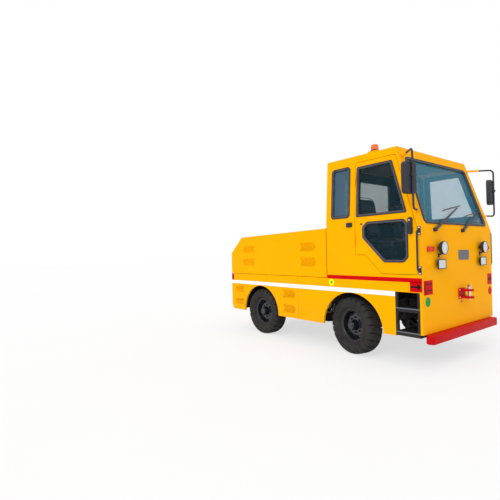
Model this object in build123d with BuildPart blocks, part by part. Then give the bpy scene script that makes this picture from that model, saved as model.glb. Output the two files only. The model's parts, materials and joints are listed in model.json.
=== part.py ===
"""Battery-operated airport baggage tug: a towing tractor with a two-seat cab and a battery hood.

Millimetres. +X is forward, +Y is to the driver's left, +Z is up. The origin is on the ground
under the middle of the vehicle.
"""

import os
from math import cos, pi, radians, sin, tan

from build123d import *

# Body: the front and rear panels stand the same way from the origin
panel_x = 1800.0
half_width = 932.0
skirt_bottom_z = 355.0
body_seam_z = 986.0
front_bottom_z = 402.0
sheet = 30.0
moving_gap = 6.0
pin_gap = 0.5
seat_gap = 1.0

# Cab
cab_back_x = 458.0
cab_wall = 40.0
belt_z = 1590.0
roof_z = 2560.0
roof_thickness = 30.0
roof_front_x = 1498.0
side_fold_z = 1736.0
roof_half_width = 877.0
screen_lean = (panel_x - roof_front_x) / (roof_z - belt_z)
side_lean = (half_width - roof_half_width) / (roof_z - side_fold_z)

# Windows and their rubber seals
glass_thickness = 6.0
seal_width = 28.0
seal_lip = 12.0
seal_proud = 7.0
screen_top_z = 2446.0
screen_bottom_z = 1641.0
screen_top_half = 775.0
screen_bottom_half = 822.0
screen_corner = 60.0
quarter_back_x = 547.0
quarter_front_x = 849.0
quarter_bottom_z = 1775.0
quarter_top_z = 2438.0
quarter_corner = 45.0
rear_window_half = 600.0
rear_window_bottom_z = 1790.0
rear_window_top_z = 2390.0

# Doors, hinged at the rear edge on a line that leans in with the cab side
door_back_x = 931.0
door_front_x = 1750.0
door_bottom_z = 1070.0
door_top_z = 2465.0
door_step_z = 1297.0
door_step_x = 1074.0
door_heel_x = 1304.0
door_pillar = 44.0
door_corner = 22.0
upper_window_back_x = 953.0
upper_window_bottom_z = 1773.0
upper_window_top_z = 2408.0
upper_window_margin = 60.0
upper_window_corner = 16.0
lower_window_corner = 42.0
hinge_low_z = 1496.0
hinge_high_z = 2247.0
hinge_length = 140.0
hinge_radius = 9.0
hinge_standoff = 14.0
handle_x = 1684.0
handle_z = 1617.0
handle_width = 45.0
handle_height = 187.0
handle_proud = 32.0
catch_x = 845.0
catch_z = 1680.0
catch_length = 82.0
catch_height = 55.0
catch_proud = 18.0
catch_corner = 10.0
hinge_leaf_overlap = 2.0
stud_x = 1031.0
stud_radius = 9.0
stud_length = 20.0

# Battery hood
hood_front_x = 441.0
hood_top_front_z = 1663.0
hood_top_back_z = 1621.0
hood_chamfer_x = -1485.0
hood_back_top_z = 1350.0
hood_wall = 25.0
hood_half_width = 930.0
hood_hinge_radius = 10.0
hood_hinge_length = 160.0
hood_hinge_y = 560.0
hood_hinge_gap = 14.0
hood_hinge_rise = 36.0

# Louvres: nested chevron slits as (rear x, front x, low z, high z) and the way that they point
louvre_slit = 10.0
louvre_count = 10
louvre_depth = 6.0
louvre_point = 44.0
hood_louvres = (
    (-62.0, 248.0, 1356.0, 1482.0, 1),
    (-62.0, 248.0, 1134.0, 1268.0, 1),
    (-1452.0, -1125.0, 1349.0, 1463.0, -1),
    (-1452.0, -1125.0, 1131.0, 1254.0, -1),
)
skirt_louvres = (
    (-447.0, -175.0, 653.0, 774.0, 1),
    (-447.0, -175.0, 426.0, 550.0, 1),
    (-1698.0, -1435.0, 661.0, 767.0, -1),
    (-1698.0, -1435.0, 445.0, 550.0, -1),
)

# Raised round caps over the body's fixings
cap_radius = 50.0
cap_proud = 9.0
cap_slope = 35.0
front_cap_y = 764.0
front_cap_z = 1190.0
skirt_cap_x = (-862.0, 427.0)
skirt_cap_z = 923.0

# Wheels and axles
tyre_radius = 372.5
tyre_width = 200.0
tyre_shoulder = 34.0
lug_count = 24
lug_width = 80.0
lug_depth = 26.0
lug_inner_z = 14.0
bead_width = 24.0
rim_seat_radius = 190.5
rim_flange_radius = 216.0
rim_width = 150.0
rim_wall = 9.0
rim_flange = 12.0
disc_thickness = 12.0
hub_radius = 72.0
hub_length = 92.0
hub_cap_radius = 46.0
hub_cap_length = 18.0
disc_dish = 18.0
hand_hole_radius = 15.0
hand_hole_circle = 154.0
hub_end_wall = 20.0
drum_radius = 128.0
drum_width = 62.0
spindle_radius = 28.0
stud_circle_radius = 98.0
wheel_nut_radius = 15.0
wheel_nut_height = 20.0
wheel_stud_count = 8
rear_axle_x = -1000.0
rear_track_half = 776.0
front_axle_x = 825.0
kingpin_y = 640.0
kingpin_to_wheel = 136.0
steer_at_rest = -10.0
kingpin_radius = 16.0
kingpin_boss_radius = 34.0
axle_beam_height = 90.0
axle_beam_width = 70.0
knuckle_ear = 30.0
knuckle_gap = 5.0
knuckle_web = 20.0
steering_arm = 160.0
arm_width = 32.0
tie_rod_radius = 14.0
tie_rod_eye_radius = 22.0
tie_rod_stud_radius = 9.0
tie_rod_drop = 36.0
tie_rod_eye_gap = 2.0
rear_axle_radius = 45.0
diff_radius = 150.0
diff_half_width = 90.0
motor_radius = 125.0
motor_length = 280.0
motor_chamfer = 12.0
brake_gap = 20.0

# Wheel arches
front_arch_radius = 465.0
front_arch_x = 837.0
front_arch_z = 345.0
rear_arch_radius = 430.0
rear_arch_x = -988.0
rear_arch_z = 373.0

# Chassis
rail_inner_y = 370.0
rail_width = 80.0
rail_bottom_z = 560.0
rail_height = 180.0
rail_wall = 10.0
bulkhead_thickness = 14.0
bulkhead_x = (-1452.0, -560.0, 352.0, 1330.0)
bulkhead_leg = 40.0
end_plate_bottom_z = 330.0
bulkhead_leg_bottom_z = 430.0
deck_thickness = 26.0
spring_width = 60.0
spring_thickness = 42.0
spring_half_length = 430.0
spring_rise = 66.0
spring_hanger = 50.0
battery_length = 840.0
battery_half_width = 425.0
battery_height = 760.0
battery_corner = 20.0
battery_slot = 15.0

# Entry steps
step_back_x = 1470.0
step_top_z = 866.0
step_depth = 240.0
step_post = 32.0
step_bottom_z = 365.0
step_inset = 2.0
tread_z = (365.0, 640.0)
tread_height = (47.0, 43.0)
step_bar_z = 445.0
step_bar_depth = 30.0
step_bar_height = 10.0

# Front bumper
bumper_front_x = 1885.0
bumper_depth = 62.0
bumper_half_width = 877.0
bumper_bottom_z = 303.0
bumper_height = 99.0
bumper_corner = 28.0
bumper_arm_y = (-620.0, 0.0, 620.0)
bumper_arm_width = 70.0
bumper_arm_height = 60.0

# Tow jaws
jaw_z = 794.0
jaw_gap = 64.0
jaw_ear = 24.0
jaw_width = 130.0
jaw_reach = 145.0
jaw_plate_width = 170.0
jaw_plate_height = 128.0
jaw_plate = 14.0
pin_reach = 95.0
pin_radius = 17.0
pin_bottom_z = 721.0
pin_top_z = 900.0
pin_collar_radius = 27.0
pin_collar_height = 12.0
pin_neck_radius = 13.0
pin_head_height = 26.0

# Lamps
round_lamp_y = 553.0
round_lamp_z = 1360.0
round_lamp_radius = 73.0
round_lamp_proud = 78.0
square_lamp_y = 560.0
square_lamp_z = 1175.0
square_lamp_size = 110.0
square_lamp_proud = 48.0
lens_thickness = 8.0
lamp_rim = 8.0
lamp_back_taper = 24.0
lamp_back_depth = 30.0
lamp_corner = 10.0
lamp_foot_width = 26.0
lamp_foot_drop = 34.0
lamp_foot_depth = 14.0
indicator_y = 747.0
indicator_z = 1350.0
indicator_width = 130.0
indicator_height = 58.0
indicator_proud = 26.0
indicator_corner = 8.0
tail_lamp_y = 780.0
tail_lamp_z = 900.0

# Beacon
beacon_x = 1103.0
beacon_y = -720.0
beacon_radius = 48.0
beacon_height = 72.0
beacon_ring = 16.0
beacon_ring_step = 4.0
beacon_dome = (44.0, 34.0, 18.0)
plinth_length = 140.0
plinth_width = 120.0
plinth_height = 46.0
plinth_corner = 12.0

# Mirrors, wipers and rails
mirror_x = 1790.0
mirror_y = 1075.0
mirror_z = 2120.0
mirror_width = 182.0
mirror_depth = 60.0
mirror_toe = 9.0
mirror_height = 330.0
mirror_tube_radius = 11.0
mirror_top_z = 2440.0
mirror_low_z = 1790.0
mirror_corner = 45.0
mirror_edge = 14.0
mirror_bend = 50.0
mirror_foot_inset = 60.0
mirror_bar = 24.0
mirror_top_bar = 170.0
mirror_low_bar = 60.0
wiper_z = 1570.0
wiper_swings = ((-640.0, 729.0, 299.0), (50.0, 588.0, 244.0))
wiper_pivot_radius = 18.0
wiper_stand = 12.0
wiper_arm_thickness = 12.0
wiper_arm_root = 36.0
wiper_arm_tip = 14.0
wiper_blade_length = 500.0
wiper_blade_width = 12.0
wiper_blade_tilt = 10.0
wiper_blade_back = 110.0
grab_x = 1781.0
grab_top_z = 1556.0
grab_bottom_z = 1116.0
grab_stand = 52.0
grab_radius = 11.0
grab_plate_width = 34.0
grab_plate_height = 96.0
grab_plate = 6.0

# Cab inside
seat_y = 430.0
seat_x = 1090.0
seat_width = 480.0
seat_length = 470.0
seat_top_z = 1500.0
cushion_thickness = 130.0
back_thickness = 110.0
back_top_z = 2100.0
back_lean = 10.0
seat_base_width = 360.0
seat_base_inset = 60.0
seat_corner = 60.0
seat_back_corner = 80.0
seat_back_gap = 2.0
steering_wheel_x = 1470.0
steering_wheel_z = 1745.0
steering_wheel_radius = 200.0
steering_rim_radius = 15.0
steering_tilt = 35.0
steering_hub_radius = 45.0
steering_spoke_width = 26.0
steering_spoke_thickness = 16.0
column_length = 190.0
column_radius = 30.0
dash_back_x = 1560.0
dash_top_z = 1640.0
dash_bottom_z = 1180.0
dash_slope = 30.0
dash_face_height = 110.0
dash_foot_depth = 90.0
dash_side_gap = 14.0
cut_spare = 1.0

os.makedirs("parts", exist_ok=True)


def save(piece, label):
    """Label a finished sub-part and write it as its own file"""
    piece.part.label = label
    export_step(piece.part, f"parts/{label}.step")


def screen_x(z):
    """Outer face of the cab front at a height: upright to the belt, then leaning back"""
    return panel_x - screen_lean * max(0.0, z - belt_z)


def side_y(z):
    """Outer face of a cab side at a height: upright to the fold, then leaning in"""
    return half_width - side_lean * max(0.0, z - side_fold_z)


def side_piece(hand, outline, corner, grow, proud, thickness):
    """One piece of a cab side: the bent wall section, cut to an outline seen from the side.

    grow offsets the outline, proud moves the outer face out of the wall's own.
    """
    low_z, high_z = skirt_bottom_z, roof_z + cab_wall
    section = [(side_y(z) + proud, z) for z in (low_z, side_fold_z, high_z)]
    section += [(y - thickness, z) for y, z in reversed(section)]
    with BuildPart() as piece:
        with BuildSketch(Plane.YZ):
            with BuildLine():
                Polyline(*[(hand * y, z) for y, z in section], close=True)
            make_face()
        extrude(amount=panel_x + cab_wall)
        with BuildSketch(Plane.XZ) as window:
            with BuildLine():
                Polyline(*outline, close=True)
            make_face()
            if corner:
                fillet(window.vertices(), corner)
            if grow:
                offset(amount=grow, kind=Kind.INTERSECTION if grow > 0 else Kind.ARC)
        extrude(amount=2 * half_width, both=True, mode=Mode.INTERSECT)
    return piece.part


def front_piece(outline, corner, grow, proud, thickness):
    """One piece of the cab front: the bent front section, cut to an outline seen from ahead"""
    section = [(screen_x(z) + proud, z) for z in (front_bottom_z, belt_z, roof_z)]
    section += [(x - thickness, z) for x, z in reversed(section)]
    with BuildPart() as piece:
        with BuildSketch(Plane.XZ):
            with BuildLine():
                Polyline(*section, close=True)
            make_face()
        extrude(amount=half_width + cab_wall, both=True)
        with BuildSketch(Plane.YZ) as window:
            with BuildLine():
                Polyline(*outline, close=True)
            make_face()
            if corner:
                fillet(window.vertices(), corner)
            if grow:
                offset(amount=grow)
        extrude(amount=panel_x + 2 * cab_wall, mode=Mode.INTERSECT)
    return piece.part


def seal_ring(cut_piece, outline, corner, thickness):
    """A window's rubber seal: a lip over the panel and a channel through the hole"""
    with BuildPart() as ring:
        add(cut_piece(outline, corner, 0, seal_proud, seal_proud))
        add(cut_piece(outline, corner, -seal_lip, 0, thickness))
        add(cut_piece(outline, corner, -seal_width, seal_proud + cut_spare, thickness + 2 * seal_proud),
            mode=Mode.SUBTRACT)
    return ring.part


# Outlines of the openings, seen from the side as (x, z) or from ahead as (y, z)
def door_edge_x(z):
    """Front edge of the door: upright, then parallel to the windscreen"""
    return min(door_front_x, screen_x(z) - door_pillar)


door_bend_z = belt_z + (panel_x - door_pillar - door_front_x) / screen_lean
door_outline = [
    (door_back_x, door_top_z),
    (door_edge_x(door_top_z), door_top_z),
    (door_front_x, door_bend_z),
    (door_front_x, door_bottom_z),
    (door_heel_x, door_bottom_z),
    (door_step_x, door_step_z),
    (door_back_x, door_step_z),
]
upper_window = [
    (upper_window_back_x, upper_window_top_z),
    (door_edge_x(upper_window_top_z) - upper_window_margin, upper_window_top_z),
    (door_edge_x(upper_window_bottom_z) - upper_window_margin, upper_window_bottom_z),
    (upper_window_back_x, upper_window_bottom_z),
]
lower_window = [
    (1110.0, 1700.0),
    (1602.0, 1700.0),
    (1648.0, 1640.0),
    (1648.0, 1262.0),
    (1592.0, 1205.0),
    (1339.0, 1205.0),
    (1044.0, 1508.0),
    (1044.0, 1640.0),
]
quarter_window = [
    (quarter_back_x, quarter_bottom_z),
    (quarter_back_x, quarter_top_z),
    (quarter_front_x, quarter_top_z),
    (quarter_front_x, quarter_bottom_z),
]
windscreen = [
    (-screen_bottom_half, screen_bottom_z),
    (screen_bottom_half, screen_bottom_z),
    (screen_top_half, screen_top_z),
    (-screen_top_half, screen_top_z),
]
rear_window = [
    (-rear_window_half, rear_window_bottom_z),
    (rear_window_half, rear_window_bottom_z),
    (rear_window_half, rear_window_top_z),
    (-rear_window_half, rear_window_top_z),
]


def back_piece(outline, corner, grow, proud, thickness):
    """One piece of the cab's rear wall, cut to an outline seen from behind"""
    with BuildPart() as piece:
        with BuildSketch(Plane.YZ.offset(cab_back_x - proud)) as window:
            with BuildLine():
                Polyline(*outline, close=True)
            make_face()
            if corner:
                fillet(window.vertices(), corner)
            if grow:
                offset(amount=grow)
        extrude(amount=thickness)
    return piece.part


def mirror_foot(hand, z):
    """Plane where a mirror arm leaves the cab front at a height: Z runs level out to the arm's upright"""
    start = Vector(screen_x(z), hand * (side_y(z) - mirror_foot_inset), z)
    corner = Vector(mirror_x + mirror_tube_radius, hand * mirror_y, z)
    return Plane(origin=start, x_dir=(0, 0, 1), z_dir=corner - start)


# Cab shell
front_outline = [
    (-half_width, front_bottom_z),
    (half_width, front_bottom_z),
    (half_width, side_fold_z),
    (side_y(roof_z - roof_thickness), roof_z - roof_thickness),
    (-side_y(roof_z - roof_thickness), roof_z - roof_thickness),
    (-half_width, side_fold_z),
]
with BuildPart() as cab_front:
    add(front_piece(front_outline, 0, 0, 0, sheet))
    add(front_piece(windscreen, screen_corner, -seal_lip, cut_spare, sheet + 2 * cut_spare),
        mode=Mode.SUBTRACT)
    for hand in (-1, 1):
        with BuildSketch(Plane.YZ.offset(panel_x)):
            with Locations((hand * front_cap_y, front_cap_z)):
                Circle(cap_radius)
        extrude(amount=cap_proud, taper=cap_slope)
        for foot, length in ((mirror_foot(hand, mirror_top_z), mirror_top_bar),
                             (mirror_foot(hand, mirror_low_z), mirror_low_bar)):
            with BuildSketch(foot.offset(-sheet / 2)):
                Rectangle(mirror_bar, mirror_bar)
            extrude(amount=length + sheet / 2)
save(cab_front, "cab_front")

cab_top_z = roof_z - roof_thickness
side_outline = [
    (cab_back_x, body_seam_z),
    (panel_x - sheet, body_seam_z),
    (panel_x - sheet, belt_z),
    (screen_x(cab_top_z) - sheet, cab_top_z),
    (cab_back_x, cab_top_z),
]
hinge_tilt = (side_y(hinge_low_z) - side_y(hinge_high_z)) / (hinge_high_z - hinge_low_z)
hinge_x = door_back_x - moving_gap / 2


def hinge_y(z):
    """Distance of the leaning hinge line from the middle of the vehicle at a height"""
    return side_y(hinge_low_z) + hinge_standoff - hinge_tilt * (z - hinge_low_z)


def hinge_plane(hand, z):
    """Plane across the leaning hinge line at a height"""
    return Plane(origin=(hinge_x, hand * hinge_y(z), z), z_dir=(0, -hand * hinge_tilt, 1))


def hinge_half(hand, z, on_door):
    """One half of a door hinge: a barrel on the hinge line and a leaf on the panel"""
    start = seat_gap / 2 if on_door else -hinge_length / 2
    leaf_x = hinge_x + (hinge_radius if on_door else -hinge_radius)
    leaf_z = z + (1 if on_door else -1) * hinge_length / 4
    with BuildPart() as half:
        with BuildSketch(hinge_plane(hand, z).offset(start)):
            Circle(hinge_radius)
        extrude(amount=hinge_length / 2 - seat_gap / 2)
        with BuildSketch(Plane.XY.offset(leaf_z - hinge_length / 8)):
            with Locations((leaf_x, hand * (side_y(leaf_z) + hinge_standoff / 2 - hinge_leaf_overlap))):
                Rectangle(2 * hinge_radius, hinge_standoff + 2 * hinge_leaf_overlap)
        extrude(amount=hinge_length / 4)
    return half.part


for side, hand in (("right", -1), ("left", 1)):
    with BuildPart() as cab_side:
        add(side_piece(hand, side_outline, 0, 0, 0, cab_wall))
        add(side_piece(hand, door_outline, door_corner, moving_gap, cut_spare, cab_wall + 2 * cut_spare),
            mode=Mode.SUBTRACT)
        add(side_piece(hand, quarter_window, quarter_corner, -seal_lip, cut_spare, cab_wall + 2 * cut_spare),
            mode=Mode.SUBTRACT)
        for z in (hinge_low_z, hinge_high_z):
            add(hinge_half(hand, z, False))
        with BuildSketch(Plane.XZ.offset(-hand * half_width)):
            with Locations((catch_x, catch_z)):
                RectangleRounded(catch_length, catch_height, catch_corner)
        extrude(amount=-hand * catch_proud)
    save(cab_side, f"cab_side_{side}")

    with BuildPart() as door:
        add(side_piece(hand, door_outline, door_corner, 0, 0, cab_wall))
        for outline, corner in ((upper_window, upper_window_corner), (lower_window, lower_window_corner)):
            add(side_piece(hand, outline, corner, -seal_lip, cut_spare, cab_wall + 2 * cut_spare),
                mode=Mode.SUBTRACT)
        for z in (hinge_low_z, hinge_high_z):
            add(hinge_half(hand, z, True))
    save(door, f"door_{side}")

    with BuildPart() as door_seals:
        for outline, corner in ((upper_window, upper_window_corner), (lower_window, lower_window_corner)):
            add(seal_ring(lambda *cut: side_piece(hand, *cut), outline, corner, cab_wall))
        with BuildSketch(Plane.XZ.offset(-hand * half_width)):
            with Locations((handle_x, handle_z)):
                SlotOverall(handle_height, handle_width, rotation=90)
        extrude(amount=-hand * handle_proud)
        with BuildSketch(Plane.XZ.offset(-hand * half_width)):
            with Locations((stud_x, catch_z)):
                Circle(stud_radius)
        extrude(amount=-hand * stud_length)
    save(door_seals, f"door_trim_{side}")

    with BuildPart() as door_glass:
        for outline, corner in ((upper_window, upper_window_corner), (lower_window, lower_window_corner)):
            add(side_piece(hand, outline, corner, -seal_width, -cab_wall / 2, glass_thickness))
    save(door_glass, f"door_glass_{side}")

with BuildPart() as cab_rear_wall:
    with BuildSketch(Plane.YZ.offset(cab_back_x)):
        with BuildLine():
            corners = [(side_y(z) - cab_wall, z) for z in (body_seam_z, side_fold_z, cab_top_z)]
            Polyline(*corners, *[(-y, z) for y, z in reversed(corners)], close=True)
        make_face()
    extrude(amount=cab_wall)
    add(back_piece(rear_window, screen_corner, -seal_lip, cut_spare, cab_wall + 2 * cut_spare),
        mode=Mode.SUBTRACT)
save(cab_rear_wall, "cab_rear_wall")

with BuildPart() as cab_roof:
    with BuildSketch(Plane.XZ):
        with BuildLine():
            Polyline((cab_back_x, cab_top_z), (screen_x(cab_top_z), cab_top_z),
                     (roof_front_x, roof_z), (cab_back_x, roof_z), close=True)
        make_face()
    extrude(amount=half_width, both=True)
    with BuildSketch(Plane.YZ):
        with BuildLine():
            Polyline((-side_y(cab_top_z), cab_top_z), (side_y(cab_top_z), cab_top_z),
                     (roof_half_width, roof_z), (-roof_half_width, roof_z), close=True)
        make_face()
    extrude(amount=panel_x, mode=Mode.INTERSECT)
    with BuildSketch(Plane.XY.offset(roof_z)):
        with Locations((beacon_x, beacon_y)):
            RectangleRounded(plinth_length, plinth_width, plinth_corner)
    extrude(amount=plinth_height)
save(cab_roof, "cab_roof")

beacon_base_z = roof_z + plinth_height
beacon_dome_step = beacon_height / 6
with BuildPart() as beacon:
    with BuildSketch(Plane.XZ.offset(-beacon_y)):
        with BuildLine():
            ring_radius = beacon_radius + beacon_ring_step
            dome_z = beacon_base_z + beacon_ring + beacon_height
            Polyline(
                (beacon_x, beacon_base_z), (beacon_x + ring_radius, beacon_base_z),
                (beacon_x + ring_radius, beacon_base_z + beacon_ring),
                (beacon_x + beacon_radius, beacon_base_z + beacon_ring),
                *[(beacon_x + radius, dome_z - (2 - k) * beacon_dome_step)
                  for k, radius in enumerate(beacon_dome)],
                (beacon_x, dome_z), close=True)
        make_face()
    revolve(axis=Axis((beacon_x, beacon_y, 0), (0, 0, 1)))
save(beacon, "beacon")

with BuildPart() as window_seals:
    add(seal_ring(front_piece, windscreen, screen_corner, sheet))
    add(seal_ring(back_piece, rear_window, screen_corner, cab_wall))
    for hand in (-1, 1):
        add(seal_ring(lambda *cut: side_piece(hand, *cut), quarter_window, quarter_corner, cab_wall))
save(window_seals, "window_seals")

with BuildPart() as cab_glass:
    add(front_piece(windscreen, screen_corner, -seal_width, -sheet / 2, glass_thickness))
    add(back_piece(rear_window, screen_corner, -seal_width, -cab_wall / 2, glass_thickness))
    for hand in (-1, 1):
        add(side_piece(hand, quarter_window, quarter_corner, -seal_width, -cab_wall / 2, glass_thickness))
save(cab_glass, "cab_glass")

# Lower body
def louvre_slits(groups):
    """Flat sketch of louvre groups: nested chevrons, the last one's point at the group's end"""
    with BuildSketch(mode=Mode.PRIVATE) as slits:
        for rear_x, front_x, low_z, high_z, way in groups:
            start = rear_x if way > 0 else front_x
            pitch = (front_x - rear_x - louvre_point - louvre_slit) / (louvre_count - 1)
            for k in range(louvre_count):
                tail = start + way * k * pitch
                edge = tail + way * louvre_slit
                point = way * louvre_point
                Polygon((tail, low_z), (edge, low_z), (edge + point, (low_z + high_z) / 2), (edge, high_z),
                        (tail, high_z), (tail + point, (low_z + high_z) / 2), align=None)
    return slits.sketch


deck_bottom_z = body_seam_z - deck_thickness
skirt_inner_y = half_width - sheet
for side, hand in (("right", -1), ("left", 1)):
    with BuildPart() as side_skirt:
        with BuildSketch(Plane.XZ.offset(-hand * half_width)):
            with BuildLine():
                Polyline((sheet - panel_x, skirt_bottom_z), (step_back_x, skirt_bottom_z),
                         (step_back_x, step_top_z), (panel_x - sheet, step_top_z),
                         (panel_x - sheet, body_seam_z), (sheet - panel_x, body_seam_z), close=True)
            make_face()
            with Locations((front_arch_x, front_arch_z)):
                Circle(front_arch_radius, mode=Mode.SUBTRACT)
            with Locations((rear_arch_x, rear_arch_z)):
                Circle(rear_arch_radius, mode=Mode.SUBTRACT)
        extrude(amount=hand * sheet)
        with BuildSketch(Plane.XZ.offset(-hand * half_width)):
            with Locations(*[(x, skirt_cap_z) for x in skirt_cap_x]):
                Circle(cap_radius)
        extrude(amount=-hand * cap_proud, taper=cap_slope)
        with BuildSketch(Plane.XZ.offset(-hand * half_width)):
            add(louvre_slits(skirt_louvres))
        extrude(amount=hand * louvre_depth, mode=Mode.SUBTRACT)
    save(side_skirt, f"side_skirt_{side}")

with BuildPart() as rear_panel:
    with BuildSketch(Plane.YZ.offset(-panel_x)):
        with Locations((0, (front_bottom_z + body_seam_z) / 2)):
            Rectangle(2 * half_width, body_seam_z - front_bottom_z)
    extrude(amount=sheet)
save(rear_panel, "rear_panel")

battery_x = (bulkhead_x[1] + bulkhead_x[2] + bulkhead_thickness) / 2
battery_bottom_z = rail_bottom_z + rail_height
with BuildPart() as hood_deck:
    with BuildSketch(Plane.XY.offset(deck_bottom_z)):
        with Locations(((sheet - panel_x + cab_back_x) / 2, 0)):
            Rectangle(cab_back_x + panel_x - sheet, 2 * skirt_inner_y)
        with Locations((battery_x, 0)):
            Rectangle(battery_length + 2 * battery_slot, 2 * (battery_half_width + battery_slot),
                      mode=Mode.SUBTRACT)
    extrude(amount=deck_thickness)
save(hood_deck, "hood_deck")

with BuildPart() as cab_floor:
    with BuildSketch(Plane.XY.offset(deck_bottom_z)):
        with Locations(((cab_back_x + panel_x - sheet) / 2, 0)):
            Rectangle(panel_x - sheet - cab_back_x, 2 * skirt_inner_y)
    extrude(amount=deck_thickness)
save(cab_floor, "cab_floor")

with BuildPart() as battery_pack:
    with BuildSketch(Plane.XY.offset(battery_bottom_z)):
        with Locations((battery_x, 0)):
            RectangleRounded(battery_length, 2 * battery_half_width, battery_corner)
    extrude(amount=battery_height)
save(battery_pack, "battery_pack")

hood_hinge_z = body_seam_z + moving_gap + hood_hinge_rise
with BuildPart() as battery_hood:
    with BuildSketch(Plane.XZ):
        with BuildLine():
            Polyline((-panel_x, body_seam_z + moving_gap), (hood_front_x, body_seam_z + moving_gap),
                     (hood_front_x, hood_top_front_z), (hood_chamfer_x, hood_top_back_z),
                     (-panel_x, hood_back_top_z), close=True)
        make_face()
    extrude(amount=hood_half_width, both=True)
    bottom_and_front = [battery_hood.faces().sort_by(Axis.Z)[0], battery_hood.faces().sort_by(Axis.X)[-1]]
    offset(amount=-hood_wall, openings=bottom_and_front)
    for hand in (-1, 1):
        with BuildSketch(Plane.XZ.offset(-hand * hood_half_width)):
            add(louvre_slits(hood_louvres))
        extrude(amount=hand * louvre_depth, mode=Mode.SUBTRACT)
    for y in (-hood_hinge_y, hood_hinge_y):
        with BuildSketch(Plane.XZ.offset(-y - hood_hinge_length / 2)):
            with Locations((-panel_x - hood_hinge_gap, hood_hinge_z)):
                Circle(hood_hinge_radius)
            with Locations((-panel_x - hood_hinge_gap / 2, hood_hinge_z)):
                Rectangle(hood_hinge_gap, hood_hinge_radius)
        extrude(amount=hood_hinge_length / 2)
save(battery_hood, "battery_hood")

# Chassis
rail_end_x = panel_x - sheet - bulkhead_thickness
with BuildPart() as chassis_rails:
    for hand in (-1, 1):
        with BuildSketch(Plane.YZ.offset(-rail_end_x)):
            with Locations((hand * (rail_inner_y + rail_width / 2), rail_bottom_z + rail_height / 2)):
                Rectangle(rail_width, rail_height)
                Rectangle(rail_width - 2 * rail_wall, rail_height - 2 * rail_wall, mode=Mode.SUBTRACT)
        extrude(amount=2 * rail_end_x)
        for axle_x in (front_axle_x, rear_axle_x):
            for end in (-spring_half_length, spring_half_length):
                with BuildSketch(Plane.XY.offset(rail_bottom_z)):
                    with Locations((axle_x + end, hand * (rail_inner_y + rail_width / 2))):
                        Rectangle(spring_hanger, spring_width)
                extrude(amount=-spring_hanger)
save(chassis_rails, "chassis_rails")

rail_top_z = rail_bottom_z + rail_height
with BuildPart() as chassis_bulkheads:
    for x in bulkhead_x:
        with BuildSketch(Plane.YZ.offset(x)):
            with BuildLine():
                half = [
                    (rail_inner_y, rail_bottom_z), (rail_inner_y, rail_top_z),
                    (skirt_inner_y - bulkhead_leg, rail_top_z),
                    (skirt_inner_y - bulkhead_leg, bulkhead_leg_bottom_z),
                    (skirt_inner_y, bulkhead_leg_bottom_z), (skirt_inner_y, deck_bottom_z),
                ]
                Polyline(*half, *[(-y, z) for y, z in reversed(half)], close=True)
            make_face()
        extrude(amount=bulkhead_thickness)
    end_half_width = half_width - step_depth - step_post / 2
    for end in (-1, 1):
        with BuildSketch(Plane.YZ.offset(end * rail_end_x)):
            with Locations((0, (end_plate_bottom_z + deck_bottom_z) / 2)):
                Rectangle(2 * end_half_width, deck_bottom_z - end_plate_bottom_z)
        extrude(amount=end * bulkhead_thickness)
save(chassis_bulkheads, "chassis_bulkheads")

wheel_z = tyre_radius
spring_bottom_z = wheel_z + axle_beam_height / 2
with BuildPart() as leaf_springs:
    for axle_x in (front_axle_x, rear_axle_x):
        for hand in (-1, 1):
            near_y = hand * (rail_inner_y + (rail_width - spring_width) / 2)
            with BuildSketch(Plane.XZ.offset(-near_y)):
                with BuildLine():
                    ends = [(axle_x - spring_half_length, spring_bottom_z + spring_rise),
                            (axle_x + spring_half_length, spring_bottom_z + spring_rise)]
                    low = ThreePointArc(ends[0], (axle_x, spring_bottom_z), ends[1])
                    high = ThreePointArc(
                        (ends[0][0], rail_bottom_z - spring_hanger),
                        (axle_x, spring_bottom_z + spring_thickness),
                        (ends[1][0], rail_bottom_z - spring_hanger))
                    Line(low @ 0, high @ 0)
                    Line(low @ 1, high @ 1)
                make_face()
            extrude(amount=-hand * spring_width)
save(leaf_springs, "leaf_springs")

# Axles
with BuildPart() as front_axle:
    with BuildSketch(Plane.YZ.offset(front_axle_x - axle_beam_width / 2)):
        with Locations((0, wheel_z)):
            Rectangle(2 * kingpin_y - kingpin_boss_radius, axle_beam_height)
    extrude(amount=axle_beam_width)
    for hand in (-1, 1):
        with BuildSketch(Plane.XY.offset(wheel_z - axle_beam_height / 2)):
            with Locations((front_axle_x, hand * kingpin_y)):
                Circle(kingpin_boss_radius)
        extrude(amount=axle_beam_height)
    for hand in (-1, 1):
        with BuildSketch(Plane.XY.offset(wheel_z - axle_beam_height / 2)):
            with Locations((front_axle_x, hand * kingpin_y)):
                Circle(kingpin_radius + pin_gap)
        extrude(amount=axle_beam_height, mode=Mode.SUBTRACT)
save(front_axle, "front_axle")

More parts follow.
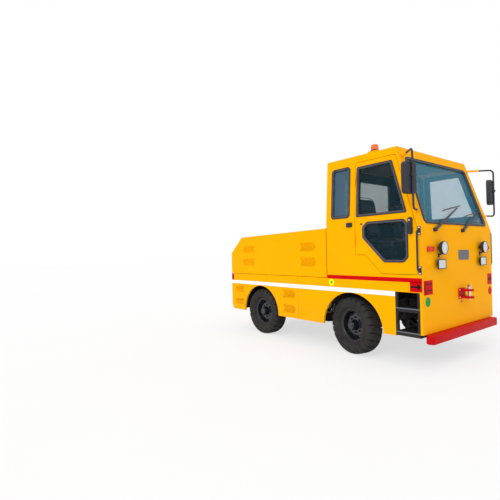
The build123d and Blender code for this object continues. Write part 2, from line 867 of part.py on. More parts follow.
rear_axle_end_y = rear_track_half - drum_width - brake_gap
with BuildPart() as rear_axle:
    with BuildSketch(Plane.XZ.offset(-rear_axle_end_y)):
        with Locations((rear_axle_x, wheel_z)):
            Circle(rear_axle_radius)
    extrude(amount=2 * rear_axle_end_y)
    with BuildSketch(Plane.XZ.offset(-(rear_track_half + tyre_width / 4))):
        with Locations((rear_axle_x, wheel_z)):
            Circle(spindle_radius)
    extrude(amount=2 * (rear_track_half + tyre_width / 4))
    with BuildSketch(Plane.XZ):
        with Locations((rear_axle_x, wheel_z)):
            Circle(diff_radius)
    extrude(amount=diff_half_width, both=True)
    with BuildSketch(Plane.YZ.offset(rear_axle_x)):
        with Locations((0, wheel_z)):
            Circle(motor_radius)
    extrude(amount=diff_radius + motor_length)
    for hand in (-1, 1):
        with BuildSketch(Plane.XY.offset(wheel_z)):
            with Locations((rear_axle_x, hand * (rail_inner_y + rail_width / 2))):
                Rectangle(2 * rear_axle_radius, spring_width)
        extrude(amount=spring_bottom_z - wheel_z)
    chamfer(rear_axle.faces().sort_by(Axis.X)[-1].edges(), motor_chamfer)
save(rear_axle, "rear_axle")


def kingpin_plane(hand):
    """Plane at a kingpin, at wheel height, turned with the steered wheel: X forward, Y to the left"""
    turn = radians(steer_at_rest)
    return Plane(origin=(front_axle_x, hand * kingpin_y, wheel_z), x_dir=(cos(turn), sin(turn), 0))


def wheel_plane(corner):
    """Plane through a wheel's centre whose Z is the wheel's axis, pointing out of the vehicle"""
    place, hand = corner
    if place == "rear":
        centre = (rear_axle_x, hand * rear_track_half, wheel_z)
        return Plane(origin=centre, x_dir=(1, 0, 0), z_dir=(0, hand, 0))
    turned = kingpin_plane(hand)
    centre = turned.origin + turned.y_dir * hand * kingpin_to_wheel
    return Plane(origin=centre, x_dir=turned.x_dir, z_dir=turned.y_dir * hand)


corners = {
    "front_right": ("front", -1),
    "front_left": ("front", 1),
    "rear_right": ("rear", -1),
    "rear_left": ("rear", 1),
}
# One tyre and one rim, made round the wheel's axis, which is Z here, outwards
carcass_radius = tyre_radius - lug_depth
flat_to_corner = 1 / cos(pi / lug_count)
lug_root = carcass_radius - lug_depth
lug_half = lug_width / 2
lug_face = (tyre_radius ** 2 - lug_half ** 2) ** 0.5
with BuildPart() as lug:
    with BuildSketch(Plane.XZ):
        with BuildLine():
            Polyline(
                (lug_root, lug_inner_z), (lug_face, lug_inner_z), (lug_face, tyre_width / 2 - tyre_shoulder),
                (carcass_radius / flat_to_corner, tyre_width / 2), (lug_root, tyre_width / 2), close=True)
        make_face()
    extrude(amount=lug_half, both=True)
with BuildPart() as other_lug:
    add(mirror(lug.part, about=Plane.XY))

with BuildPart() as tyre_form:
    with BuildSketch(Plane.XY.offset(-tyre_width / 2)):
        RegularPolygon(carcass_radius, lug_count)
    extrude(amount=tyre_width)
    with PolarLocations(0, lug_count, start_angle=180 / lug_count):
        add(lug.part)
    with PolarLocations(0, lug_count):
        add(other_lug.part)
    with BuildSketch(Plane.XY.offset(-tyre_width / 2)):
        RegularPolygon((rim_seat_radius + pin_gap) * flat_to_corner, lug_count)
    extrude(amount=tyre_width, mode=Mode.SUBTRACT)
    for end in (-1, 1):
        with BuildSketch(Plane.XY.offset(end * (rim_width / 2 - rim_flange))):
            RegularPolygon((rim_flange_radius + seat_gap) * flat_to_corner, lug_count)
        with BuildSketch(Plane.XY.offset(end * tyre_width / 2)):
            RegularPolygon((rim_flange_radius + bead_width) * flat_to_corner, lug_count)
        loft(ruled=True, mode=Mode.SUBTRACT)

disc_z = 2 * disc_thickness
with BuildPart() as rim_form:
    with BuildSketch(Plane.XZ):
        with BuildLine():
            inner = rim_seat_radius - rim_wall
            Polyline(
                (inner, -rim_width / 2),
                (rim_flange_radius, -rim_width / 2),
                (rim_flange_radius, -rim_width / 2 + rim_flange),
                (rim_seat_radius, -rim_width / 2 + rim_flange),
                (rim_seat_radius, rim_width / 2 - rim_flange),
                (rim_flange_radius, rim_width / 2 - rim_flange),
                (rim_flange_radius, rim_width / 2),
                (rim_seat_radius, rim_width / 2),
                (inner, rim_width / 2 - rim_flange),
                (inner, disc_z - disc_dish),
                (stud_circle_radius + 2 * wheel_nut_radius, disc_z),
                (hub_radius, disc_z),
                (hub_cap_radius, hub_length),
                (hub_cap_radius, hub_length + hub_cap_length),
                (0, hub_length + hub_cap_length),
                (0, hub_length - hub_end_wall),
                (spindle_radius + pin_gap, hub_length - hub_end_wall),
                (spindle_radius + pin_gap, -drum_width),
                (drum_radius, -drum_width),
                (drum_radius, 0),
                (inner, -disc_dish),
                close=True)
        make_face()
    revolve(axis=Axis.Z)
    with BuildSketch(Plane.XY.offset(disc_z)):
        with PolarLocations(stud_circle_radius, wheel_stud_count):
            RegularPolygon(wheel_nut_radius, 6)
    extrude(amount=wheel_nut_height)
    with BuildSketch(Plane.XY.offset(-disc_dish - cut_spare)):
        with PolarLocations(hand_hole_circle, wheel_stud_count, start_angle=180 / wheel_stud_count):
            Circle(hand_hole_radius)
    extrude(amount=disc_z + disc_dish + 2 * cut_spare, mode=Mode.SUBTRACT)

for name, corner in corners.items():
    hub = wheel_plane(corner)
    with BuildPart(hub) as tyre:
        add(tyre_form.part)
    save(tyre, f"tyre_{name}")
    with BuildPart(hub) as rim:
        add(rim_form.part)
    save(rim, f"rim_{name}")

# Steering
for side, hand in (("right", -1), ("left", 1)):
    turned = kingpin_plane(hand)
    ear_z = axle_beam_height / 2 + knuckle_gap
    with BuildPart() as knuckle:
        with BuildSketch(turned.offset(-ear_z - knuckle_ear)):
            Circle(kingpin_radius)
        extrude(amount=2 * (ear_z + knuckle_ear))
        for z in (-ear_z - knuckle_ear, ear_z):
            with BuildSketch(turned.offset(z)):
                Circle(kingpin_boss_radius)
                with Locations((0, hand * kingpin_boss_radius / 2 + hand * knuckle_gap)):
                    Rectangle(2 * kingpin_boss_radius, kingpin_boss_radius + 2 * knuckle_gap)
            extrude(amount=knuckle_ear)
        with BuildSketch(turned.offset(-ear_z - knuckle_ear)):
            with Locations((0, hand * (kingpin_boss_radius + knuckle_gap + knuckle_web / 2))):
                Rectangle(2 * kingpin_boss_radius, knuckle_web)
        extrude(amount=2 * (ear_z + knuckle_ear))
        with BuildSketch(turned.offset(-ear_z - knuckle_ear)):
            with Locations((-steering_arm / 2, 0)):
                SlotCenterToCenter(steering_arm, arm_width)
        extrude(amount=knuckle_ear)
        with BuildSketch(turned.offset(-ear_z - knuckle_ear - tie_rod_drop)):
            with Locations((-steering_arm, 0)):
                Circle(tie_rod_stud_radius)
        extrude(amount=tie_rod_drop)
        outward = turned.y_dir * hand
        spindle_start = Plane(origin=turned.origin + outward * (kingpin_boss_radius + 2 * knuckle_gap),
                              x_dir=turned.x_dir, z_dir=outward)
        with BuildSketch(spindle_start):
            Circle(spindle_radius)
        extrude(amount=kingpin_to_wheel + tyre_width / 4 - kingpin_boss_radius - 2 * knuckle_gap)
    save(knuckle, f"knuckle_{side}")

turn = radians(steer_at_rest)
rod_x = front_axle_x - steering_arm * cos(turn)
rod_y = -steering_arm * sin(turn)
rod_z = wheel_z - axle_beam_height / 2 - knuckle_gap - knuckle_ear - tie_rod_drop / 2
with BuildPart() as tie_rod:
    rod_half = kingpin_y - tie_rod_stud_radius - 2 * pin_gap
    with BuildSketch(Plane.XZ.offset(-rod_y - rod_half)):
        with Locations((rod_x, rod_z)):
            Circle(tie_rod_radius)
    extrude(amount=2 * rod_half)
    for hand in (-1, 1):
        with BuildSketch(Plane.XY.offset(rod_z - tie_rod_drop / 2 + tie_rod_eye_gap)):
            with Locations((rod_x, rod_y + hand * kingpin_y)):
                Circle(tie_rod_eye_radius)
        extrude(amount=tie_rod_drop - 2 * tie_rod_eye_gap)
        with BuildSketch(Plane.XY.offset(rod_z - tie_rod_drop / 2)):
            with Locations((rod_x, rod_y + hand * kingpin_y)):
                Circle(tie_rod_stud_radius + pin_gap)
        extrude(amount=tie_rod_drop, mode=Mode.SUBTRACT)
save(tie_rod, "tie_rod")

# Entry steps
with BuildPart() as entry_steps:
    for hand in (-1, 1):
        outer_y = half_width - step_inset
        for x in (step_back_x, panel_x - sheet - step_post):
            for y in (outer_y - step_post, outer_y - step_depth):
                with BuildSketch(Plane.XY.offset(step_bottom_z)):
                    with Locations((x + step_post / 2, hand * (y + step_post / 2))):
                        Rectangle(step_post, step_post)
                extrude(amount=step_top_z - step_bottom_z)
        for z, height in zip(tread_z, tread_height):
            with BuildSketch(Plane.XY.offset(z)):
                with Locations(((step_back_x + panel_x - sheet) / 2, hand * (outer_y - step_depth / 2))):
                    Rectangle(panel_x - sheet - step_back_x, step_depth)
            extrude(amount=height)
        bar_y = outer_y - step_depth + step_bar_depth / 2
        with BuildSketch(Plane.XY.offset(step_bar_z)):
            with Locations(((step_back_x + panel_x - sheet) / 2, hand * bar_y)):
                Rectangle(panel_x - sheet - step_back_x, step_bar_depth)
        extrude(amount=step_bar_height)
save(entry_steps, "entry_steps")

# Bumper and tow jaws
with BuildPart() as front_bumper:
    with BuildSketch(Plane.XY.offset(bumper_bottom_z)):
        with Locations((bumper_front_x - bumper_depth / 2, 0)):
            RectangleRounded(bumper_depth, 2 * bumper_half_width, bumper_corner)
    extrude(amount=bumper_height)
    for y in bumper_arm_y:
        with BuildSketch(Plane.YZ.offset(panel_x - sheet)):
            with Locations((y, bumper_bottom_z + bumper_height / 2)):
                Rectangle(bumper_arm_width, bumper_arm_height)
        extrude(amount=bumper_front_x - bumper_depth - panel_x + sheet)
save(front_bumper, "front_bumper")

with BuildPart() as tow_jaws:
    for end in (-1, 1):
        with BuildSketch(Plane.YZ.offset(end * panel_x)):
            with Locations((0, jaw_z)):
                Rectangle(jaw_plate_width, jaw_plate_height)
        extrude(amount=end * jaw_plate)
        for z in (jaw_z - jaw_gap / 2 - jaw_ear, jaw_z + jaw_gap / 2):
            with BuildSketch(Plane.XY.offset(z)):
                with Locations((end * (panel_x + (jaw_reach - jaw_width / 2) / 2), 0)):
                    Rectangle(jaw_reach - jaw_width / 2, jaw_width)
                with Locations((end * (panel_x + jaw_reach - jaw_width / 2), 0)):
                    Circle(jaw_width / 2)
                with Locations((end * (panel_x + pin_reach), 0)):
                    Circle(pin_radius + pin_gap, mode=Mode.SUBTRACT)
            extrude(amount=jaw_ear)
save(tow_jaws, "tow_jaws")

for name, end in (("front", 1), ("rear", -1)):
    jaw_top_z = jaw_z + jaw_gap / 2 + jaw_ear
    pin_x = end * (panel_x + pin_reach)
    collar_z = jaw_top_z + seat_gap
    with BuildPart() as tow_pin:
        with BuildSketch(Plane.XZ):
            with BuildLine():
                Polyline(
                    (pin_x, pin_bottom_z), (pin_x + pin_radius, pin_bottom_z), (pin_x + pin_radius, collar_z),
                    (pin_x + pin_collar_radius, collar_z),
                    (pin_x + pin_collar_radius, collar_z + pin_collar_height),
                    (pin_x + pin_neck_radius, pin_top_z - pin_head_height),
                    (pin_x + pin_collar_radius, pin_top_z), (pin_x, pin_top_z), close=True)
            make_face()
        revolve(axis=Axis((pin_x, 0, 0), (0, 0, 1)))
    save(tow_pin, f"tow_pin_{name}")

# Lamps
back_shrink = lamp_back_depth * tan(radians(lamp_back_taper))
with BuildPart() as lamp_housings:
    for hand in (-1, 1):
        with BuildSketch(Plane.YZ.offset(panel_x)):
            with Locations((hand * round_lamp_y, round_lamp_z)):
                Circle(round_lamp_radius - back_shrink)
        extrude(amount=lamp_back_depth, taper=-lamp_back_taper)
        with BuildSketch(Plane.YZ.offset(panel_x + lamp_back_depth)):
            with Locations((hand * round_lamp_y, round_lamp_z)):
                Circle(round_lamp_radius)
        extrude(amount=round_lamp_proud - lamp_back_depth)
        with BuildSketch(Plane.YZ.offset(panel_x + round_lamp_proud)):
            with Locations((hand * round_lamp_y, round_lamp_z)):
                Circle(round_lamp_radius - lamp_rim)
        extrude(amount=-lens_thickness, mode=Mode.SUBTRACT)
        with BuildSketch(Plane.YZ.offset(panel_x)):
            with Locations((hand * round_lamp_y, round_lamp_z - round_lamp_radius)):
                Rectangle(lamp_foot_width, 2 * lamp_foot_drop)
        extrude(amount=lamp_foot_depth)
        with BuildSketch(Plane.YZ.offset(panel_x)):
            with Locations((hand * square_lamp_y, square_lamp_z)):
                RectangleRounded(square_lamp_size, square_lamp_size, lamp_corner)
        extrude(amount=square_lamp_proud)
        with BuildSketch(Plane.YZ.offset(panel_x + square_lamp_proud)):
            with Locations((hand * square_lamp_y, square_lamp_z)):
                Rectangle(square_lamp_size - 2 * lamp_rim, square_lamp_size - 2 * lamp_rim)
        extrude(amount=-lens_thickness, mode=Mode.SUBTRACT)
save(lamp_housings, "lamp_housings")

with BuildPart() as lamp_lenses:
    for hand in (-1, 1):
        with BuildSketch(Plane.YZ.offset(panel_x + round_lamp_proud - lens_thickness)):
            with Locations((hand * round_lamp_y, round_lamp_z)):
                Circle(round_lamp_radius - lamp_rim)
        extrude(amount=lens_thickness)
        with BuildSketch(Plane.YZ.offset(panel_x + square_lamp_proud - lens_thickness)):
            with Locations((hand * square_lamp_y, square_lamp_z)):
                Rectangle(square_lamp_size - 2 * lamp_rim, square_lamp_size - 2 * lamp_rim)
        extrude(amount=lens_thickness)
save(lamp_lenses, "lamp_lenses")

with BuildPart() as signal_lamps:
    for hand in (-1, 1):
        for end, y, z in ((1, indicator_y, indicator_z), (-1, tail_lamp_y, tail_lamp_z)):
            with BuildSketch(Plane.YZ.offset(end * panel_x)):
                with Locations((hand * y, z)):
                    RectangleRounded(indicator_width, indicator_height, indicator_corner)
            extrude(amount=end * indicator_proud)
save(signal_lamps, "signal_lamps")

# Grab rails, mirrors and wipers
with BuildPart() as grab_rails:
    for hand in (-1, 1):
        outer_y = half_width + grab_stand
        with BuildLine() as route:
            FilletPolyline(
                (grab_x, hand * half_width, grab_bottom_z), (grab_x, hand * outer_y, grab_bottom_z),
                (grab_x, hand * outer_y, grab_top_z), (grab_x, hand * half_width, grab_top_z),
                radius=grab_stand / 2)
        with BuildSketch(Plane(origin=route.line @ 0, z_dir=route.line % 0)):
            Circle(grab_radius)
        sweep(path=route.line)
        with BuildSketch(Plane.XZ.offset(-hand * half_width)):
            with Locations((grab_x, grab_bottom_z), (grab_x, grab_top_z)):
                Rectangle(grab_plate_width, grab_plate_height)
        extrude(amount=-hand * grab_plate)
save(grab_rails, "grab_rails")

with BuildPart() as mirror_arms:
    for hand in (-1, 1):
        top_foot, low_foot = mirror_foot(hand, mirror_top_z), mirror_foot(hand, mirror_low_z)
        with BuildLine() as route:
            FilletPolyline(
                top_foot.offset(mirror_top_bar).origin,
                (mirror_x + mirror_tube_radius, hand * mirror_y, mirror_top_z),
                (mirror_x + mirror_tube_radius, hand * mirror_y, mirror_low_z),
                low_foot.offset(mirror_low_bar).origin, radius=mirror_bend)
        with BuildSketch(Plane(origin=route.line @ 0, z_dir=route.line % 0)):
            Circle(mirror_tube_radius)
        sweep(path=route.line)
save(mirror_arms, "mirror_arms")

with BuildPart() as mirror_heads:
    for hand in (-1, 1):
        toe = radians(hand * mirror_toe)
        back = Plane(origin=(mirror_x - seat_gap, hand * mirror_y, mirror_z),
                     x_dir=(-sin(toe), cos(toe), 0), z_dir=(cos(toe), sin(toe), 0))
        with BuildSketch(back.offset(-mirror_edge)):
            RectangleRounded(mirror_width, mirror_height, mirror_corner)
        extrude(amount=mirror_edge - mirror_depth)
        with BuildSketch(back.offset(-mirror_edge)):
            RectangleRounded(mirror_width, mirror_height, mirror_corner)
        extrude(amount=mirror_edge, taper=45)
save(mirror_heads, "mirror_heads")

screen_plane = Plane(origin=(panel_x, 0, belt_z), x_dir=(0, 1, 0), z_dir=(1, 0, screen_lean))
with BuildPart() as wipers:
    for y, reach, rise in wiper_swings:
        with BuildSketch(Plane.YZ.offset(panel_x)):
            with Locations((y, wiper_z)):
                Circle(wiper_pivot_radius)
        extrude(amount=wiper_stand + 2 * wiper_arm_thickness)
        root, tip = (y, wiper_z - belt_z), (y + reach, wiper_z - belt_z + rise)
        with BuildSketch(screen_plane.offset(wiper_stand)):
            with BuildLine():
                Polyline(
                    (root[0], root[1] - wiper_arm_root / 2), (tip[0], tip[1] - wiper_arm_tip / 2),
                    (tip[0], tip[1] + wiper_arm_tip / 2), (root[0], root[1] + wiper_arm_root / 2), close=True)
            make_face()
        extrude(amount=wiper_arm_thickness)
        with BuildSketch(screen_plane.offset(-glass_thickness)):
            with Locations(Location((tip[0] - wiper_blade_back, tip[1], 0), (0, 0, wiper_blade_tilt))):
                Rectangle(wiper_blade_length, wiper_blade_width)
        extrude(amount=wiper_stand + glass_thickness)
save(wipers, "wipers")

# Cab inside
with BuildPart() as seat_bases:
    for hand in (-1, 1):
        with BuildSketch(Plane.XY.offset(body_seam_z)):
            with Locations((seat_x, hand * seat_y)):
                Rectangle(seat_length - seat_base_inset, seat_base_width)
        extrude(amount=seat_top_z - cushion_thickness - body_seam_z)
save(seat_bases, "seat_bases")

with BuildPart() as seat_cushions:
    for hand in (-1, 1):
        with BuildSketch(Plane.XY.offset(seat_top_z - cushion_thickness)):
            with Locations((seat_x, hand * seat_y)):
                RectangleRounded(seat_length, seat_width, seat_corner)
        extrude(amount=cushion_thickness)
        back_plane = Plane(origin=(seat_x - seat_length / 2, hand * seat_y, seat_top_z + seat_back_gap),
                           x_dir=(0, 1, 0), z_dir=(cos(radians(back_lean)), 0, sin(radians(back_lean))))
        with BuildSketch(back_plane):
            with Locations((0, (back_top_z - seat_top_z) / 2)):
                RectangleRounded(seat_width, back_top_z - seat_top_z, seat_back_corner)
        extrude(amount=-back_thickness)
save(seat_cushions, "seat_cushions")

with BuildPart() as dashboard:
    with BuildSketch(Plane.XZ):
        with BuildLine():
            Polyline(
                (panel_x - sheet, dash_bottom_z), (panel_x - sheet, belt_z),
                (screen_x(dash_top_z) - sheet, dash_top_z), (dash_back_x, dash_top_z - dash_slope),
                (dash_back_x, dash_top_z - dash_slope - dash_face_height),
                (panel_x - sheet - dash_foot_depth, dash_bottom_z), close=True)
        make_face()
    extrude(amount=half_width - cab_wall - dash_side_gap, both=True)
save(dashboard, "dashboard")

with BuildPart() as steering_wheel:
    tilt = radians(steering_tilt)
    wheel_face = Plane(origin=(steering_wheel_x, -seat_y, steering_wheel_z), x_dir=(0, 1, 0),
                       z_dir=(-sin(tilt), 0, cos(tilt)))
    with BuildSketch(Plane(origin=wheel_face.origin, x_dir=wheel_face.x_dir, z_dir=wheel_face.y_dir)):
        with Locations((steering_wheel_radius - steering_rim_radius, 0)):
            RegularPolygon(steering_rim_radius, 8)
    revolve(axis=Axis(wheel_face.origin, wheel_face.z_dir))
    with BuildSketch(wheel_face.offset(-steering_spoke_thickness / 2)):
        Circle(steering_hub_radius)
        with PolarLocations((steering_wheel_radius - steering_rim_radius) / 2, 3):
            Rectangle(steering_wheel_radius - steering_rim_radius, steering_spoke_width)
    extrude(amount=steering_spoke_thickness)
    with BuildSketch(wheel_face):
        Circle(column_radius)
    extrude(amount=-column_length)
    add(dashboard.part, mode=Mode.SUBTRACT)
save(steering_wheel, "steering_wheel")
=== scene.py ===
# %% [markdown]
# # An airport baggage tug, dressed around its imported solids
#
# The frame holds every solid at its real size and place, in metres: +X is forward, +Y is to the
# driver's left, +Z is up, and the origin is on the ground under the middle. This script gives each
# surface its finish and adds what solids leave plain: tyre tread, lamp glass, rubber seals, seats,
# films and bolts. Sizes below are in millimetres, as on a workshop drawing, and become metres in one
# place. Every finished piece has its place in its mesh and rides on a body of the frame.

# %% The frame and the tools
import json
from math import cos, radians, sin

import bmesh
import bpy
import numpy as np
from mathutils import Matrix, Vector


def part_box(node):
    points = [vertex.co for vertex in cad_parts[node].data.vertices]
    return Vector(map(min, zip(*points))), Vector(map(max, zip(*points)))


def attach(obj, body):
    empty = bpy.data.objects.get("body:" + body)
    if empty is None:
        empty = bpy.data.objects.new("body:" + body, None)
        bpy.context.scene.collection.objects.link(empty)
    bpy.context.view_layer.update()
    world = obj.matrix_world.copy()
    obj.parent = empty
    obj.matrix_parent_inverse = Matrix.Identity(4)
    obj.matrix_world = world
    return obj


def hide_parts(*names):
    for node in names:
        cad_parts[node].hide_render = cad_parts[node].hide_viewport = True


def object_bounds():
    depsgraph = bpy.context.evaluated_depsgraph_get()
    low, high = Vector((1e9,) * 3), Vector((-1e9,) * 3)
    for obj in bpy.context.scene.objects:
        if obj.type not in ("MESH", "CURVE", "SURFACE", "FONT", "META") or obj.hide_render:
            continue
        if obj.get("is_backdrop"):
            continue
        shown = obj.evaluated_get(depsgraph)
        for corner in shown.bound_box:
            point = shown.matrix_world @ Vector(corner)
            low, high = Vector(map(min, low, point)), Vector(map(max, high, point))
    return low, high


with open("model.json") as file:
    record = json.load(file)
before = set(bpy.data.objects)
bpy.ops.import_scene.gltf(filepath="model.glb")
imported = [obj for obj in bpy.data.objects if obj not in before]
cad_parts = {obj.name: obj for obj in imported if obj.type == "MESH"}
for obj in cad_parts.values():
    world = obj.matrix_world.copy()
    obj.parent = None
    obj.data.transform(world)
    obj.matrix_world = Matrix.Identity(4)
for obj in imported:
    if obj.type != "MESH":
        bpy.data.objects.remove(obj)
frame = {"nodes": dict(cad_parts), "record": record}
cad_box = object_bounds()
nodes = frame["nodes"]
MM = 0.001
HANDS = {"right": -1, "left": 1}
made = []

# %% [markdown]
# ## Meshes from arrays
# A surface here is a function of two parameters, worked out on a whole grid at once with numpy. The
# grid becomes quads, which is much faster than adding vertices one by one. A closed mesh gets its
# doubled points merged and its faces turned outwards.

# %% Grid surfaces
def new_mesh(name, points, faces):
    """A mesh object from (n, 3) points in millimetres and its faces"""
    mesh = bpy.data.meshes.new(name)
    mesh.from_pydata((np.asarray(points, float) * MM).tolist(), [], faces)
    mesh.update()
    piece = bpy.data.objects.new(name, mesh)
    bpy.context.scene.collection.objects.link(piece)
    return piece


def grid_faces(rows, columns, closed_rows=False, closed_columns=False):
    """Quads of a rows by columns grid of points, joined round where a direction is closed"""
    i = np.arange(rows if closed_rows else rows - 1)
    j = np.arange(columns if closed_columns else columns - 1)
    i, j = np.meshgrid(i, j, indexing="ij")
    a, b = (i + 1) % rows, (j + 1) % columns
    quads = np.stack([i * columns + j, i * columns + b, a * columns + b, a * columns + j], -1)
    return quads.reshape(-1, 4).tolist()


def outward(piece):
    """Merge doubled points and turn the faces of a closed mesh outwards"""
    shape = bmesh.new()
    shape.from_mesh(piece.data)
    bmesh.ops.remove_doubles(shape, verts=shape.verts, dist=1e-6)
    bmesh.ops.recalc_face_normals(shape, faces=shape.faces)
    shape.to_mesh(piece.data)
    shape.free()
    return piece


# %% Smooth shading, grids and joins
def smooth(piece, angle=35):
    """Shade a piece smooth, apart from edges sharper than the angle"""
    shape = bmesh.new()
    shape.from_mesh(piece.data)
    for face in shape.faces:
        face.smooth = True
    for edge in shape.edges:
        edge.smooth = len(edge.link_faces) == 2 and edge.calc_face_angle(0) < radians(angle)
    shape.to_mesh(piece.data)
    shape.free()
    return piece


def grid_piece(name, grid, closed_rows=False, closed_columns=False, capped=False, angle=35):
    """An object from a (rows, columns, 3) grid.

    capped closes its first and last rows with one face each.
    """
    rows, columns = grid.shape[:2]
    faces = grid_faces(rows, columns, closed_rows, closed_columns)
    if capped:
        faces += [list(range(columns)), [(rows - 1) * columns + k for k in range(columns)]]
    return smooth(outward(new_mesh(name, grid.reshape(-1, 3), faces)), angle)


def joined(name, pieces):
    """One object from several"""
    bpy.ops.object.select_all(action="DESELECT")
    for piece in pieces:
        piece.select_set(True)
    bpy.context.view_layer.objects.active = pieces[0]
    if len(pieces) > 1:
        bpy.ops.object.join()
    pieces[0].name = pieces[0].data.name = name
    return pieces[0]


# %% [markdown]
# ## Outlines and what is made from them
# Most fittings on sheet metal are an outline with rounded corners, given some thickness and soft
# edges: plates, lamps, mirror heads, films. One function makes them all. It stacks copies of the
# outline, drawn in a little at the top and bottom, and a placing function lays them on the panel. A
# Bevel modifier could round the edges too, but it would need its own settings for every plate.

# %% Rounded outlines
def rounded(corners, radius, steps=6):
    """The corners of a polygon as arcs.

    Each centre lies on the corner's bisector, at radius / sin(half angle). The points of an arc lie
    between its first and last directions, by their share of the angle that it sweeps.
    """
    p = np.asarray(corners, float)
    u, v = np.roll(p, 1, 0) - p, np.roll(p, -1, 0) - p
    u /= np.linalg.norm(u, axis=1, keepdims=True)
    v /= np.linalg.norm(v, axis=1, keepdims=True)
    half = np.arccos(np.clip((u * v).sum(1), -1, 1))[:, None] / 2
    r = np.broadcast_to(np.asarray(radius, float), len(p))[:, None]
    bisector = (u + v) / np.linalg.norm(u + v, axis=1, keepdims=True)
    centre = p + bisector * r / np.sin(half)
    inward = bisector / np.sin(half)
    first, last = u / np.tan(half) - inward, v / np.tan(half) - inward
    sweep = (np.pi - 2 * half)[:, :, None]
    share = np.linspace(0, 1, steps)[None, :, None]
    turn = np.sin((1 - share) * sweep) * first[:, None] + np.sin(share * sweep) * last[:, None]
    turn /= np.sin(sweep)
    return (centre[:, None] + r[:, :, None] * turn).reshape(-1, 2)


def box_outline(u0, u1, v0, v1, radius=0.01, steps=6):
    """A rectangle from u0 to u1 and from v0 to v1, its corners rounded"""
    return rounded([(u0, v0), (u1, v0), (u1, v1), (u0, v1)], radius, steps)


def circle_outline(u, v, radius, steps=40):
    """Points round a circle: its centre plus the radius times the cosine and sine of a turn"""
    turn = np.linspace(0, 2 * np.pi, steps, endpoint=False)
    return np.stack([u + radius * np.cos(turn), v + radius * np.sin(turn)], -1)


def drawn_in(outline, distance):
    """The outline moved inwards.

    Each point goes along the sum of its two edge normals, stretched where the edges turn.
    """
    outline = np.asarray(outline, float)
    edge = np.roll(outline, -1, 0) - outline
    edge /= np.maximum(np.linalg.norm(edge, axis=1, keepdims=True), 1e-9)
    normal = np.stack([-edge[:, 1], edge[:, 0]], -1)
    x, y = outline.T
    area = (x * np.roll(y, -1) - y * np.roll(x, -1)).sum()
    before = np.roll(normal, 1, 0)
    miter = (normal + before) / (1 + (normal * before).sum(1, keepdims=True))
    return outline + np.sign(area) * distance * miter


# %% Plates from stacked outlines
# The rings of a crowned top, as shares of the way from its edge to its middle
crown_rings = np.linspace(0.12, 0.96, 8)


def slab(name, outline, place, low, high, edge=0.6, steps=3, both=False, crown=None):
    """A plate with soft edges: the outline at each height, drawn in by edge * (1 - cos) of the turn.

    place(u, v, w) gives points in space. both rounds the lower edge too. crown raises the middle of
    the top, by 1 minus the squared share of the way back to the edge.
    """
    turn = np.linspace(0, np.pi / 2, steps + 1)
    rows = [(edge * (1 - np.cos(t)), high - edge * (1 - np.sin(t))) for t in turn]
    rows = ([(a, low + high - w) for a, w in reversed(rows)] if both else [(0.0, low)]) + rows
    rings = [place(*drawn_in(outline, inset).T, np.full(len(outline), w)) for inset, w in rows]
    if crown:
        top, middle = drawn_in(outline, edge), outline.mean(0)
        for s in crown_rings:
            ring = middle + (top - middle) * (1 - s)
            rings.append(place(*ring.T, np.full(len(ring), high + crown * (1 - (1 - s) ** 2))))
    return grid_piece(name, np.stack(rings), closed_columns=True, capped=True)


# %% [markdown]
# ## The panels that pieces sit on
# The cab's side walls stand upright to a fold above the doors and then lean in, and its front stands
# upright to the belt and then leans back with the windscreen. Each placing function turns (u, v, w),
# which is across, up and outwards on a panel, into a point in space.

# %% Panels
panel_x, half_width = 1800.0, 932.0
belt_z, roof_z, roof_front_x = 1590.0, 2560.0, 1498.0
fold_z, roof_half_width = 1736.0, 877.0
screen_lean = (panel_x - roof_front_x) / (roof_z - belt_z)
side_lean = (half_width - roof_half_width) / (roof_z - fold_z)
cab_back_x = 458.0


def screen_x(z):
    """Front face at a height: upright to the belt, then back by the lean times the height above it"""
    return panel_x - screen_lean * np.maximum(0, z - belt_z)


def side_y(z):
    """Side face at a height: upright to the fold, then in by the lean times the height above it"""
    return half_width - side_lean * np.maximum(0, z - fold_z)


def on_side(hand, face=None):
    """Placing on a side: u is x, v is z. face is the distance of a flat side from the middle"""
    def place(u, v, w):
        out = (side_y(v) if face is None else face) + w
        return np.stack([u, hand * out, v], -1)
    return place


def on_front(u, v, w):
    """Placing on the front: u is y and v is z, on the upright sheet or the leaning screen"""
    return np.stack([screen_x(v) + w, u, v], -1)


def on_rear(u, v, w):
    """Placing on the rear panel: u is y and v is z"""
    return np.stack([-panel_x - w, u, v], -1)


def on_cab_back(u, v, w):
    """Placing on the outside of the cab's rear wall: u is y and v is z"""
    return np.stack([cab_back_x - w, u, v], -1)


def level(u, v, w):
    """Placing flat on the ground plan: u is x, v is y and w is z"""
    return np.stack([u, v, w], -1)


# %% [markdown]
# ## Turned pieces, bars and bolts
# Round things are a profile turned on an axis, as on a lathe, and bars are a circle carried along a
# path. Blender's cylinders and bevelled curves would do for plain ones, but a formula can add ribs to
# a lens, and one array can hold every bolt of a piece.

# %% Turned surfaces
def axes_of(normal):
    """Two directions across a normal, as the columns of a turn from local to space"""
    n = np.asarray(normal, float) / np.linalg.norm(normal)
    a = np.cross([0, 0, 1.0] if abs(n[2]) < 0.9 else [1.0, 0, 0], n)
    a /= np.linalg.norm(a)
    return np.stack([a, np.cross(n, a), n], 1)


